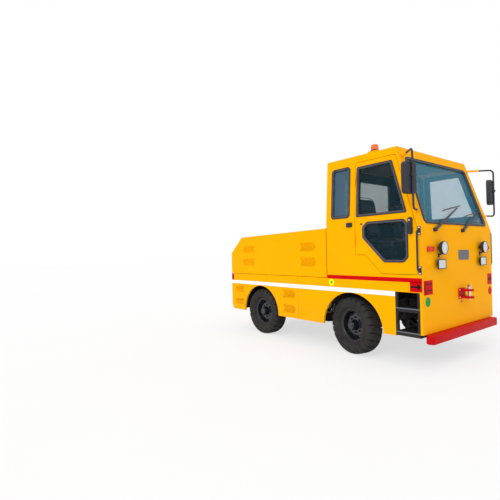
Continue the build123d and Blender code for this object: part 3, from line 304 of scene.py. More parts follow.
def lathe(name, profile, centre, axis, segments=48, ripple=None):
    """A surface of revolution: (radius, height) pairs turned round an axis through centre.

    ripple(turn, radius) adds to the height, for moulded ribs.
    """
    profile = np.asarray(profile, float)
    turn = np.linspace(0, 2 * np.pi, segments, endpoint=False)
    radius = np.repeat(profile[:, :1], segments, 1)
    height = np.repeat(profile[:, 1:], segments, 1)
    if ripple:
        height = height + ripple(turn[None], radius)
    local = np.stack([radius * np.cos(turn), radius * np.sin(turn), height], -1)
    points = np.asarray(centre, float) + local @ axes_of(axis).T
    return grid_piece(name, points, closed_columns=True)


# %% Bars and bolts
# A direction that no bar here runs along, from which each circle of a bar starts
skew = np.array([0.31, 0.17, 0.94])


def tube(name, path, radius, segments=12, closed=False):
    """A round bar along a path: a circle across the path's direction at each point"""
    path = np.asarray(path, float)
    if closed:
        ahead = np.roll(path, -1, 0) - np.roll(path, 1, 0)
    else:
        ahead = np.gradient(path, axis=0)
    ahead /= np.linalg.norm(ahead, axis=1, keepdims=True)
    guide = np.cross(ahead, skew)
    guide /= np.linalg.norm(guide, axis=1, keepdims=True)
    other = np.cross(ahead, guide)
    turn = np.linspace(0, 2 * np.pi, segments, endpoint=False)[None, :, None]
    grid = path[:, None] + radius * (np.cos(turn) * guide[:, None] + np.sin(turn) * other[:, None])
    return grid_piece(name, grid, closed_rows=closed, closed_columns=True, capped=not closed, angle=50)


def bolts(name, places, normal, size=9.0, washer=1.5):
    """Hexagon bolt heads on washers, one shape repeated at each place. size is a head's radius"""
    def ring(count, radius, height):
        turn = np.linspace(0, 2 * np.pi, count, endpoint=False)
        return np.stack([radius * np.cos(turn), radius * np.sin(turn), np.full(count, height)], -1)
    disc = [ring(18, size * 1.45, 0), ring(18, size * 1.45, washer)]
    head = [ring(6, size, washer), ring(6, size, washer + size * 0.75),
            ring(6, size * 0.8, washer + size * 0.9)]
    parts = []
    for stack in (disc, head):
        points = np.concatenate(stack)
        faces = grid_faces(len(stack), len(stack[0]), closed_columns=True)
        count = len(stack[0])
        faces += [list(range(count)), [len(points) - count + k for k in range(count)]]
        parts.append((points, faces))
    turned, every, made_faces = axes_of(normal).T, [], []
    for place in np.atleast_2d(np.asarray(places, float)):
        for points, faces in parts:
            start = sum(len(e) for e in every)
            every.append(place + points @ turned)
            made_faces += [[start + k for k in face] for face in faces]
    return smooth(outward(new_mesh(name, np.concatenate(every), made_faces)), 30)


# %% [markdown]
# ## Finishes
# A finish is a Principled shader whose colour, roughness and bump vary a little with noise on Object
# coordinates. Because every object sits at the origin, Object coordinates are metres in the vehicle's
# own frame, so the grain has its true size on every piece.

# %% Shader helpers
def srgb(*rgb):
    """Linear colour from 0 to 255 screen values: the lower part is linear, the rest a power of 2.4"""
    c = np.array(rgb) / 255
    linear = np.where(c <= 0.04045, c / 12.92, ((c + 0.055) / 1.055) ** 2.4)
    return tuple(float(v) for v in linear) + (1.0,)


def dimmed(colour, share):
    return tuple(c * share for c in colour[:3]) + (1.0,)


class Finish:
    """Builds one material's nodes with short calls"""

    def __init__(self, name, roughness=0.5, **sockets):
        self.material = bpy.data.materials.new(name)
        self.material.use_nodes = True
        self.tree = self.material.node_tree
        self.shader = self.tree.nodes["Principled BSDF"]
        self.shader.inputs["Roughness"].default_value = roughness
        for socket, value in sockets.items():
            self.shader.inputs[socket.replace("_", " ")].default_value = value
        self.place = self.node("ShaderNodeTexCoord").outputs["Object"]

    def node(self, kind, inputs=None, **settings):
        """A new node: its settings, then its inputs, each a number, a colour or another's output"""
        made_node = self.tree.nodes.new(kind)
        for name, value in settings.items():
            setattr(made_node, name, value)
        for name, value in (inputs or {}).items():
            if isinstance(value, bpy.types.NodeSocket):
                self.tree.links.new(value, made_node.inputs[name])
            else:
                made_node.inputs[name].default_value = value
        return made_node

    def link(self, output, socket):
        """Lead an output into a socket of the shader"""
        self.tree.links.new(output, self.shader.inputs[socket])

    def noise(self, scale, detail=3.0, stretch=None):
        """Noise from 0 to 1, in waves a metre, stretched along an axis by a Mapping node"""
        where = self.place
        if stretch:
            where = self.node("ShaderNodeMapping", {"Vector": where, "Scale": stretch}).outputs["Vector"]
        inputs = {"Vector": where, "Scale": scale, "Detail": detail}
        return self.node("ShaderNodeTexNoise", inputs).outputs["Fac"]

    def height(self):
        """Metres above the ground"""
        return self.node("ShaderNodeSeparateXYZ", {"Vector": self.place}).outputs["Z"]

    def blend(self, share, dark, light):
        """A colour between two, by a share from 0 to 1. 6 and 7 are the node's colour inputs"""
        inputs = {"Factor": share, 6: dark, 7: light}
        return self.node("ShaderNodeMix", inputs, data_type="RGBA").outputs[2]

    def ramp(self, value, low, high, dark, light):
        """Map value from low..high to dark..light, numbers or colours"""
        if isinstance(dark, (int, float)):
            inputs = {"Value": value, "From Min": low, "From Max": high, "To Min": dark, "To Max": light}
            return self.node("ShaderNodeMapRange", inputs).outputs["Result"]
        return self.blend(self.ramp(value, low, high, 0.0, 1.0), dark, light)

    def times(self, a, b):
        """The product of two values"""
        return self.node("ShaderNodeMath", {0: a, 1: b}, operation="MULTIPLY").outputs["Value"]

    def bump(self, height, strength, distance):
        """Tilt the shading by a height map, with its distance in metres"""
        inputs = {"Height": height, "Strength": strength, "Distance": distance}
        self.link(self.node("ShaderNodeBump", inputs).outputs["Normal"], "Normal")


# %% [markdown]
# ## Paint, rubber, metal and glass
# Sprayed paint is never one flat colour: it has faint clouds, orange peel and a little dust near the
# ground. Rubber and plastic have a fine grain, plated metal has a brushed streak, and thin glass is a
# partly clear sheet with a sharp reflection. Refraction would need thick panes and more bounces of
# light, and it hardly shows on flat windows.

# %% Paint
dust_colour = srgb(150, 128, 96)
dust_starts, dust_full = 0.75, 0.3  # metres above the ground
# Noise scales, in waves a metre: clouds in a colour, dirt, patches of gloss, and orange peel
cloud_scale, dirt_scale, gloss_scale, peel_scale = 1.7, 7.0, 9.0, 260.0


def painted(name, colour, roughness=0.42, gloss=0.12, variation=0.04, orange_peel=0.05,
            dust=0.06, coat=0.0):
    """Sprayed paint: faint clouds, orange peel, and road dust that grows towards the ground"""
    finish = Finish(name, roughness, Specular_IOR_Level=gloss, Coat_Weight=coat, Coat_Roughness=0.1)
    clouds = finish.noise(cloud_scale, 2.0)
    body = finish.ramp(clouds, 0.3, 0.7, dimmed(colour, 1 - variation), colour)
    low = finish.ramp(finish.height(), dust_starts, dust_full, 0.0, dust)
    dirt = finish.times(low, finish.ramp(finish.noise(dirt_scale, 4.0), 0.35, 0.7, 0.2, 1.0))
    finish.link(finish.blend(dirt, body, dust_colour), "Base Color")
    patches = finish.noise(gloss_scale)
    finish.link(finish.ramp(patches, 0.3, 0.7, roughness * 0.85, roughness * 1.15), "Roughness")
    finish.bump(finish.noise(peel_scale, 1.0), orange_peel, 0.0006)
    return finish.material


# %% Rubber, metal and glass
def moulded(name, colour, roughness=0.6, grain=900.0, strength=0.25, variation=0.25, gloss=0.4):
    """Moulded rubber or plastic: fine grain, with worn lighter patches"""
    finish = Finish(name, roughness, Specular_IOR_Level=gloss)
    light = [min(1.0, c * (1 + 2 * variation) + 0.004 * variation) for c in colour[:3]] + [1.0]
    finish.link(finish.ramp(finish.noise(14.0, 4.0), 0.35, 0.75, colour, light), "Base Color")
    patches, rough = finish.noise(30.0), min(1.0, roughness * 1.2)
    finish.link(finish.ramp(patches, 0.3, 0.7, roughness * 0.85, rough), "Roughness")
    finish.bump(finish.noise(grain, 2.0), strength, 0.0004)
    return finish.material


def metal(name, colour, roughness):
    """Bright metal with fine brushed variation in its gloss"""
    finish = Finish(name, roughness, Metallic=1.0)
    streak = finish.noise(80.0, 3.0, (1.0, 1.0, 12.0))
    finish.link(finish.ramp(streak, 0.3, 0.7, dimmed(colour, 0.85), colour), "Base Color")
    finish.link(finish.ramp(streak, 0.3, 0.7, roughness * 0.8, roughness * 1.3), "Roughness")
    finish.bump(streak, 0.08, 0.0004)
    return finish.material


def clear(name, colour, alpha, roughness=0.03, gloss=0.5, variation=0.1):
    """Thin glass: partly see-through, with its colour and a sharp reflection"""
    finish = Finish(name, roughness, Alpha=alpha, IOR=1.5, Specular_IOR_Level=gloss)
    tint = finish.ramp(finish.noise(2.5), 0.3, 0.7, dimmed(colour, 1 - variation), colour)
    finish.link(tint, "Base Color")
    finish.bump(finish.noise(1.2, 1.0), 0.03, 0.004)
    return finish.material


# %% The vehicle's finishes
yellow = painted("yellow paint", srgb(255, 176, 0), gloss=0.02)
# This darker yellow is painted shade for the bottoms of the louvre slits; the skirt seams use it too
slit_shade = painted("yellow paint in shadow", srgb(158, 82, 0), roughness=0.6, gloss=0.05)
red_paint = painted("red paint", srgb(196, 4, 16), roughness=0.42, gloss=0.06, dust=0.02)
chassis = painted("black chassis paint", srgb(30, 31, 36), roughness=0.45, variation=0.2, gloss=0.3,
                  dust=0.04)
wheel_paint = painted("black wheel paint", srgb(15, 20, 29), roughness=0.28, variation=0.25,
                      gloss=0.6, coat=0.3, dust=0.01)
white_film = painted("white reflective film", srgb(244, 246, 252), roughness=0.4, orange_peel=0.02,
                     dust=0.03)
red_film = painted("red reflective film", srgb(204, 2, 12), roughness=0.4, gloss=0.05, dust=0.02,
                   orange_peel=0.02)
green_film = painted("green film", srgb(0, 152, 70), roughness=0.45)
black_film = painted("black film", srgb(14, 15, 18), roughness=0.45)
lime_film = painted("lime film", srgb(240, 252, 20), roughness=0.45)
plate_grey = painted("grey plate", srgb(112, 118, 124), roughness=0.4, variation=0.2)
seal_rubber = moulded("seal rubber", srgb(30, 33, 48), roughness=0.55)
# The filler strip's paler grey is partly a painted highlight along the middle of each window rubber; the
# seat piping shares this finish
seal_strip = moulded("seal filler strip, paler for painted highlight", srgb(66, 67, 74), roughness=0.5)
tyre_rubber = moulded("tyre rubber", srgb(40, 38, 38), roughness=0.75, grain=420.0, variation=0.3,
                      strength=0.4, gloss=0.25)
black_plastic = moulded("black plastic", srgb(34, 36, 46), roughness=0.4)
seat_vinyl = moulded("seat vinyl", srgb(34, 37, 44), roughness=0.5, grain=700.0, strength=0.5)
lining = moulded("cab lining", srgb(96, 90, 78), roughness=0.8, grain=500.0, strength=0.4)
# Near black wall and window trim stands partly for real lining and partly for painted shade: it covers
# the yellow inner faces of the cab, which lie in shade
wall_trim = moulded("cab wall trim, dark for painted shade", srgb(36, 40, 46), roughness=0.8, grain=500.0, strength=0.4,
                    gloss=0.2)
dark_trim = moulded("dark cab trim, painted shade", srgb(26, 27, 30), roughness=0.7, grain=500.0, strength=0.4,
                    gloss=0.2)
mat_rubber = moulded("floor mat", srgb(36, 37, 40), roughness=0.8, grain=300.0, strength=0.6)
axle_iron = moulded("painted iron", srgb(36, 36, 38), roughness=0.6, grain=240.0, strength=0.5)
battery_grey = painted("battery case", srgb(92, 96, 100), roughness=0.5)
steel = metal("zinc plated steel", srgb(222, 226, 232), 0.28)
mirror_glass = metal("mirror glass", srgb(226, 232, 238), 0.04)
# Each pane's tint paints what shows behind it: pale blue on the windscreen and rear pane is painted
# light and reflection, and darker blue on the quarter and door panes is painted shade of the cab.
screen_glass = clear("windscreen glass, painted reflection", srgb(72, 160, 188), 0.29, gloss=0.22)
quarter_glass = clear("quarter glass, painted shade", srgb(72, 104, 124), 0.74, gloss=0.3)
rear_glass = clear("rear glass, painted light", srgb(84, 184, 200), 0.42, gloss=0.3)
door_glass = clear("door glass, painted shade", srgb(30, 66, 78), 0.18, gloss=0.25)
# Lamp lenses are near white and mostly opaque: a painted reflection standing for the bright reflector
# behind them
lamp_lens = clear("lamp glass, white for painted reflection", srgb(236, 238, 244), 0.82, 0.12)
signal_lens = clear("signal lens", srgb(236, 44, 14), 0.96, 0.2)
beacon_lens = clear("beacon lens", srgb(255, 112, 8), 0.94, 0.18)

# %% Finishes on the solids
# Each solid's slot comes from the frame. Door glass and thin black bars differ from their slot.
by_slot = {
    "yellow_paint": yellow, "chassis_paint": chassis, "red_paint": red_paint,
    "wheel_paint": wheel_paint, "tyre_rubber": tyre_rubber, "seal_rubber": seal_rubber,
    "window_glass": screen_glass, "black_plastic": black_plastic, "seat_vinyl": seat_vinyl,
    "lamp_lens": lamp_lens, "signal_lens": signal_lens, "beacon_lens": beacon_lens,
    "pin_steel": steel, "battery_grey": battery_grey, "axle_iron": axle_iron,
}
for part in frame["record"]["subparts"]:
    nodes[part["node"]].data.materials.clear()
    nodes[part["node"]].data.materials.append(by_slot[part["material_slot"]])
for name in ("door_glass_right", "door_glass_left"):
    nodes[name].data.materials[0] = door_glass
for name in ("wipers", "mirror_arms", "grab_rails"):
    nodes[name].data.materials[0] = black_plastic
print("finishes:", len(bpy.data.materials))


# %% Handing a finished piece to the frame
def ready(piece, body, finish, slot_name, *hidden):
    """Give a finished piece its material, its body and the nodes that it stands for; slot_name is not
    used
    """
    piece.data.materials.clear()
    piece.data.materials.append(finish)
    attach(piece, body)
    if hidden:
        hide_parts(*hidden)
    made.append((piece.name, len(piece.data.polygons)))
    return piece


def show(title, since):
    """Print the pieces that a cell made"""
    print(title + ":", ", ".join(f"{name} {faces}" for name, faces in made[since:]))


# %% [markdown]
# ## Tyres
# The tyres are cushion-tread industrial ones: thick blocks that reach over both shoulders, with deep
# cross grooves, and a stepped line where the blocks of the two sides meet. A texture could only draw
# the grooves; here they are in the surface. Cutting them with a Boolean would leave ragged triangles.
# The grid is carried round the wheel instead, and its lines are sheared along the width so that they
# follow the groove edges, which keeps every edge crisp.

# %% Tyre surface
since = len(made)
tyre_radius, lug_count = 372.5, 24
outer_bulge = 1.17  # how much wider the outer half is than the inner half
steer_at_rest = radians(-10)
# Half of the section from the bead to the middle of the tread, as (distance from the middle, radius)
tyre_section = np.array([
    (64, 191.6), (66, 214), (71, 218), (79, 226), (86, 233), (91, 240), (93, 243), (97, 244),
    (99, 248), (98, 252), (101, 262), (105, 274), (107, 283), (110, 285), (110.5, 289), (108, 292),
    (108.5, 300), (107, 310), (105, 319), (104, 324), (104, 330), (103, 337), (101, 344), (97, 352),
    (91, 359), (84, 364), (76, 367), (66, 369), (56, 370.5), (46, 371.3), (40, 371.6), (34, 371.9),
    (28, 372.1), (24, 372.2), (18, 372.3), (14, 372.4), (8, 372.5), (3, 372.5),
])
# How deep a groove is at each of those points, measured along the surface's normal
shoulder_depth = [3, 9, 13, 16, 18, 19, 20, 20, 20, 20, 19, 17, 13, 11]
tyre_depth = np.array([0] * 19 + shoulder_depth + [10] * 5, float)
# Where the grooves of the two sides step past each other, and by what share of a pitch
step_across = [-60, -42, -26, -12, 12, 26, 42, 60]
step_share = [0.0, 0.12, 0.12, 0.2, 0.3, 0.38, 0.38, 0.5]
# Shares of one lug's pitch: a groove with steep walls, then the block's face
groove_shares = np.array([0.0, 0.018, 0.05, 0.125, 0.157, 0.175, 0.3, 0.45, 0.6, 0.75, 0.9])
groove_fill = np.array([0.0, 0.93, 1.0, 1.0, 0.93, 0.0, 0.0, 0.0, 0.0, 0.0, 0.0])


def tyre_grid(outer):
    """Points of a tyre about the origin, its axis along Y.

    Round the wheel the angle is pitch * (lug + share + shift), where shift steps from 0 to a half pitch
    between the two sides. The section moves in along its normal by depth * fill of the share.
    """
    outside = tyre_section * (outer_bulge, 1)
    section = np.concatenate([tyre_section * (-1, 1), outside[::-1]])
    depth = np.concatenate([tyre_depth, tyre_depth[::-1]])
    ahead = np.gradient(section, axis=0)
    normal = np.stack([-ahead[:, 1], ahead[:, 0]], -1)
    normal /= np.linalg.norm(normal, axis=1, keepdims=True)
    shift = np.interp(section[:, 0], step_across, step_share)
    share = (np.arange(lug_count)[:, None] + groove_shares).ravel()
    fill = np.tile(groove_fill, lug_count)
    turn = 2 * np.pi / lug_count * (share[:, None] + shift[None])
    moved = section[None] - normal[None] * (fill[:, None] * depth[None])[..., None]
    width, radius = moved[..., 0] * outer, moved[..., 1]
    return np.stack([radius * np.cos(turn), width, radius * np.sin(turn)], -1)


def turned_wheel(points, centre, steer):
    """Points about a wheel's centre, turned with its steering angle about Z, then moved to the centre"""
    turn = np.array([[cos(steer), -sin(steer), 0], [sin(steer), cos(steer), 0], [0, 0, 1]])
    return points @ turn.T + np.asarray(centre, float)


wheels = {}
for corner in ("front_right", "front_left", "rear_right", "rear_left"):
    low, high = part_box("tyre_" + corner)
    hand = HANDS[corner.split("_")[1]]
    steer = steer_at_rest if "front" in corner else 0.0
    centre = np.array([(low[0] + high[0]) / 2, (low[1] + high[1]) / 2, 0]) / MM
    centre[2] = tyre_radius
    wheels[corner] = (centre, steer, hand)
    tyre = grid_piece("tyre_tread_" + corner, turned_wheel(tyre_grid(hand), centre, steer),
                      closed_rows=True, closed_columns=True, angle=28)
    ready(tyre, "wheel_" + corner, tyre_rubber, "tyre_rubber", "tyre_" + corner)
show("tyres", since)

# %% [markdown]
# ## Wheel fittings
# The steel disc, its hand holes and its nuts are solids already. What they lack is small: the rounded
# edge of the rim, the grease cap on the hub with its bolts, and the valve. The first two are profiles
# turned on the wheel's axis, as on a real lathe, and the valve is a thin bent tube.

# %% Rim edge, hub cap and valve
since = len(made)
rim_edge_radius, rim_edge_out = 213.0, 74.5
hub_bolt_count, hub_bolt_circle, hub_bolt_out = 6, 47.0, 102.0
for corner, (centre, steer, hand) in wheels.items():
    axis = turned_wheel(np.array([0, hand, 0.0]), (0, 0, 0), steer)
    ring = np.linspace(0, 2 * np.pi, 13)[:-1]
    edge = np.stack([rim_edge_radius + 5 * np.cos(ring), rim_edge_out + 3.6 * np.sin(ring)], -1)
    edge = np.concatenate([edge, edge[:1]])
    cap = [(0, 116), (20, 115.5), (33, 113), (38, 109), (39.5, 104), (52, 102), (55, 99), (55, 91)]
    parts = [lathe("rim edge", edge, centre, axis, 72), lathe("hub cap", cap, centre, axis, 40)]
    turn = np.linspace(0, 2 * np.pi, hub_bolt_count, endpoint=False)
    local = np.stack([hub_bolt_circle * np.cos(turn), np.full(hub_bolt_count, hub_bolt_out * hand),
                      hub_bolt_circle * np.sin(turn)], -1)
    parts.append(bolts("hub bolts", turned_wheel(local, centre, steer), axis, 5.0, 0.8))
    stem = np.array([(150, 20, 40), (158, 34, 42), (168, 52, 45), (172, 66, 46)], float) * (1, hand, 1)
    parts.append(tube("valve", turned_wheel(stem, centre, steer), 4.0))
    ready(joined("wheel_fittings_" + corner, parts), "wheel_" + corner, wheel_paint, "wheel_paint")
show("wheel fittings", since)

# %% [markdown]
# ## Window rubbers and panes
# Each pane sits in a black rubber moulding with a paler filler strip pressed into it, which shows as
# two tones round every window; the strip's paler grey is also a painted highlight along the seal. The
# moulding is a small rounded profile carried round the window's outline, so it is one grid closed both
# ways. A curve with a bevel profile would do the same, but it pinches at corners. The fixed panes get
# one finish each, because they show different things behind: their tints are painted light and shade,
# pale blue on the windscreen and rear pane, darker blue on the quarter panes for the shaded cab.

# %% Moulding round each window
since = len(made)
door_front_x, door_to_screen, window_to_door = 1750.0, 44.0, 60


def door_edge_x(z):
    """The door's front edge at a height: upright, then along the screen at a fixed distance"""
    return np.minimum(door_front_x, screen_x(z) - door_to_screen)


upper_low, upper_high, upper_rear = 1773, 2408, 953
upper_window = [(upper_rear, upper_high), (door_edge_x(upper_high) - window_to_door, upper_high),
                (door_edge_x(upper_low) - window_to_door, upper_low), (upper_rear, upper_low)]
lower_window = [(1110, 1700), (1602, 1700), (1648, 1640), (1648, 1262), (1592, 1205), (1339, 1205),
                (1044, 1508), (1044, 1640)]
quarter_window = [(547, 1775), (547, 2438), (849, 2438), (849, 1775)]
windscreen = [(-822, 1641), (822, 1641), (775, 2446), (-775, 2446)]
rear_window = [(-600, 1790), (600, 1790), (600, 2390), (-600, 2390)]
# Profiles as (distance in from the outline, height above the panel)
lip_profile = [(-1.5, 2.0), (-1.5, 8.0), (1.0, 10.5), (4.0, 11.0), (7.5, 10.5), (9.5, 8.0), (9.5, 2.0)]
strip_profile = [(9.5, 5.0), (9.5, 8.4), (13.0, 9.6), (18.0, 9.8), (23.0, 9.4), (27.0, 7.6),
                 (28.6, 4.0), (28.6, -8.0), (26.0, -8.0), (26.0, 5.0)]


def moulding(name, outline, corner, place, profile):
    """A profile carried round an outline: each ring is the outline drawn in by its first number"""
    loop = rounded(outline, corner, 8)
    rings = [place(*drawn_in(loop, inset).T, np.full(len(loop), height)) for inset, height in profile]
    return grid_piece(name, np.stack(rings), closed_rows=True, closed_columns=True, angle=50)


# Each window as its outline, the radius of its corners and its placing function
fixed_windows = [(windscreen, 60, on_front), (rear_window, 60, on_cab_back)]
fixed_windows += [(quarter_window, 45, on_side(hand)) for hand in HANDS.values()]
window_groups = [("cab", "root", fixed_windows)]
for side, hand in HANDS.items():
    door_windows = [(upper_window, 16, on_side(hand)), (lower_window, 42, on_side(hand))]
    window_groups.append(("door_" + side, "door_" + side, door_windows))
rubbers = (("lip", lip_profile, seal_rubber), ("strip", strip_profile, seal_strip))
for label, body, windows in window_groups:
    for word, profile, finish in rubbers:
        parts = [moulding(word, outline, corner, place, profile) for outline, corner, place in windows]
        ready(joined(f"window_{word}_{label}", parts), body, finish, "seal_rubber")
show("window rubbers", since)

# %% Fixed panes and the trim inside
since = len(made)
pane_inset, pane_low, pane_high = 26.0, -22.0, -16.0
pane_names = ["windscreen_pane", "rear_pane"] + ["quarter_pane_" + side for side in HANDS]
pane_finishes = [screen_glass, rear_glass, quarter_glass, quarter_glass]
for name, finish, (outline, corner, place) in zip(pane_names, pane_finishes, fixed_windows):
    shape = drawn_in(rounded(outline, corner, 8), pane_inset)
    pane = slab(name, shape, place, pane_low, pane_high, 0.5, 1, both=True)
    ready(pane, "root", finish, "window_glass", "cab_glass")
# The dark rings inside the windows are painted shade over the yellow frames, as the cab's inside lies in
# shade
trim_profile = [(-42.0, -40.4), (-42.0, -43.0), (27.0, -43.0), (27.0, -36.0), (22.0, -40.4)]
for label, body, windows in window_groups:
    parts = [moulding("trim", outline, corner, place, trim_profile)
             for outline, corner, place in windows if outline is not windscreen]
    ready(joined("inner_trim_painted_shade_" + label, parts), body, dark_trim, "black_plastic")
show("panes", since)

# %% [markdown]
# ## Films
# Stripes, arrows and dots are adhesive film, cut flat and laid on the paint. An image texture could
# carry them all, but its edges blur when the camera comes close. So each is a real piece, a few
# tenths of a millimetre thick, with the outline that a cutter would follow.

# %% Stripes and squares
since = len(made)
side_end, cab_film_rear, step_rear = 1799, 459, 1468
white_low, white_high, red_low, red_high = 812, 868, 980, 1030


def film(name, pieces, finish, slot_name, lift=0.8):
    """Film laid on panels: each entry is an outline and its placing function"""
    parts = [slab(name, np.asarray(outline, float), place, -1.0, lift, 0.15, 1)
             for outline, place in pieces]
    return ready(joined(name, parts), "root", finish, slot_name)


sides = [on_side(hand) for hand in HANDS.values()]
stripes = [(box_outline(-side_end, step_rear, white_low, white_high), side) for side in sides]
stripes += [(box_outline(-928, 928, white_low, white_high), on_rear)]
film("white_stripes", stripes, white_film, "yellow_paint")
stripes = [(box_outline(cab_film_rear, side_end, red_low, red_high), side) for side in sides]
film("red_stripes", stripes, red_film, "red_paint")
squares = [(box_outline(1655, side_end, 874, 986.5), side) for side in sides]
squares += [(box_outline(-side_end, -1735, 869, 985), side) for side in sides]
squares += [(box_outline(-902, -706, 838, 1000), on_front), (box_outline(784, 930, 847, 995), on_front)]
film("red_squares", squares, red_film, "red_paint")


# %% Arrows and dots
def arrow(u0, u1, v, shaft, head, head_length):
    """A block arrow along u from u0 to u1: its shaft and head are widths, v is its middle"""
    way = np.sign(u1 - u0)
    neck = u1 - way * head_length
    return np.array([(u0, v - shaft / 2), (neck, v - shaft / 2), (neck, v - head / 2), (u1, v),
                     (neck, v + head / 2), (neck, v + shaft / 2), (u0, v + shaft / 2)])


marks = [(arrow(1666, 1792, 930, 22, 82, 48), side) for side in sides]
marks += [(arrow(-1790, -1744, 926, 16, 56, 24), side) for side in sides]
marks += [(arrow(800, 916, 920, 22, 84, 50), on_front)]
open_head = [(-826, 990), (-842, 992), (-896, 921), (-842, 846), (-826, 848), (-876, 921)]
marks += [(np.array(open_head, float), on_front)]
tail_heights = (885, 957)
for v in tail_heights:
    marks.append((box_outline(-812, -722, v - 6, v + 6), on_front))
for v in tail_heights:
    marks.append((np.array([(-810, v - 17), (-810, v + 17), (-834, v)], float), on_front))
film("black_arrows", marks, black_film, "black_plastic", lift=1.5)
dot_z, dot_radius = 760, 55
film("green_dots", [(circle_outline(-817, dot_z, dot_radius), on_front)], green_film, "black_plastic")
film("red_dots", [(circle_outline(859, dot_z, dot_radius), on_front)], red_film, "red_paint")
sticker_at = (527, 930)
film("round_stickers", [(circle_outline(*sticker_at, 46), side) for side in sides], lime_film,
     "yellow_paint")
film("sticker_marks", [(circle_outline(*sticker_at, 17), side) for side in sides], green_film,
     "black_plastic", lift=1.2)
seams = [(box_outline(-114.5, -111.5, 358, 984), side) for side in sides]
film("skirt_seams", seams, slit_shade, "yellow_paint", lift=0.4)
show("films", since)

# %% [markdown]
# ## Blank plate and drain
# A plain grey plate with a raised rim is screwed to the front sheet, and a small drain opens below
# the jaw. The rim is four narrow slabs on a wide one, which keeps the plate's face quite flat.

# %% Front plate with its screws, and the drain
since = len(made)
y0, y1, z0, z1, rim, screw_inset = -50, 230, 1207, 1329, 8, 14
plate = slab("plate", box_outline(y0, y1, z0, z1, 6), on_front, -1, 3, 1.2)
rim_bars = [(y0, y1, z0, z0 + rim), (y0, y1, z1 - rim, z1),
            (y0, y0 + rim, z0, z1), (y1 - rim, y1, z0, z1)]
plate_parts = [plate] + [slab("rim", box_outline(*bar, 2), on_front, 0, 4.6, 1.0) for bar in rim_bars]
ready(joined("blank_front_plate", plate_parts), "root", plate_grey, "pin_steel")
screws = [(panel_x + 3.5, y, z) for y in (y0 + screw_inset, y1 - screw_inset)
          for z in (z0 + screw_inset, z1 - screw_inset)]
ready(bolts("plate_screws", screws, (1, 0, 0), 4.0, 0.8), "root", steel, "pin_steel")
drain_profile = [(0, 0.6), (9, 0.6), (12, 1.6), (14, 1.2), (14, -1)]
drain = lathe("drain_hole", drain_profile, (panel_x, 0, 688), (1, 0, 0), 24)
ready(drain, "root", black_plastic, "black_plastic")
show("plates", since)

# %% [markdown]
# ## Louvres
# The vents are groups of slits pressed into the side sheets. Their depth is in the solids. At the
# bottom of each slit the paint lies in shadow, which a flat colour can't show, so a strip of darker
# paint, a painted shade, lines every slit. One chevron is computed and moved along for each group.

# %% Slit linings of painted shade
since = len(made)
slit_width, slit_count, slit_point, slit_play = 10.0, 10, 44.0, 1
# Each group's rear and front x, lower and upper z, and the way that its chevrons point
hood_groups = [(-62, 248, 1356, 1482, 1), (-62, 248, 1134, 1268, 1), (-1452, -1125, 1349, 1463, -1),
               (-1452, -1125, 1131, 1254, -1)]
skirt_groups = [(-447, -175, 653, 774, 1), (-447, -175, 426, 550, 1), (-1698, -1435, 661, 767, -1),
                (-1698, -1435, 445, 550, -1)]
hood_half_width = 930.0


def slit_outlines(groups):
    """Nested chevrons of painted shade in each group, a little narrower than their slits"""
    for rear_x, front_x, low_z, high_z, way in groups:
        start = rear_x if way > 0 else front_x
        pitch = (front_x - rear_x - slit_point - slit_width) / (slit_count - 1)
        tails = start + way * (np.arange(slit_count) * pitch + slit_play / 2)
        low, high, middle = low_z + slit_play, high_z - slit_play, (low_z + high_z) / 2
        for tail in tails:
            edge, point = tail + way * (slit_width - slit_play), way * slit_point
            yield np.array([(tail, low), (edge, low), (edge + point, middle), (edge, high),
                            (tail, high), (tail + point, middle)], float)


for label, body, groups, face in (("hood", "battery_hood", hood_groups, hood_half_width),
                                  ("skirt", "root", skirt_groups, half_width)):
    parts = [slab("slit", outline, on_side(hand, face), -6.4, -5.0, 0.1, 1)
             for hand in HANDS.values() for outline in slit_outlines(groups)]
    ready(joined("louvre_painted_shade_" + label, parts), body, slit_shade, "yellow_paint")
show("louvres", since)

# %% [markdown]
# ## Lamps
# The headlamps have a domed lens with moulded ribs in a black can with a rolled rim. A dome is half a
# turn of a profile, so it is turned on an axis, and its ribs are a wave added to its height. The work
# lamps below are flat boxes with a slightly crowned lens in a raised frame, stacked from outlines.

# %% Headlamps and work lamps
since = len(made)
round_y, round_z, lens_radius, rib_pitch = 553.0, 1360.0, 71.0, 9
dome = [(r, 76 + 6 * (1 - (r / lens_radius) ** 2)) for r in np.linspace(0, lens_radius, 18)]
dome += [(lens_radius, 68)]
round_rim = [(70, 73), (71, 78), (73, 80), (76, 79), (78, 75), (78, 69), (75, 66)]
round_can = [(70, 70), (76, 70), (76, 52), (72, 42), (63, 32), (50, 24), (36, 19), (24, 16), (22, 0)]
work_y, work_z, work_lens, work_half = 560.0, 1175.0, (82.0, 48.0), (90, 56)
work_back, frame_bar = (84, 50), 9


def lens_ribs(turn, radius):
    """Upright ribs: a cosine wave of the distance across the lens"""
    return 0.7 * np.cos(2 * np.pi * radius * np.cos(turn) / rib_pitch)


def box_round(u, v, half_u, half_v, radius):
    """A rounded rectangle about a middle"""
    return box_outline(u - half_u, u + half_u, v - half_v, v + half_v, radius)


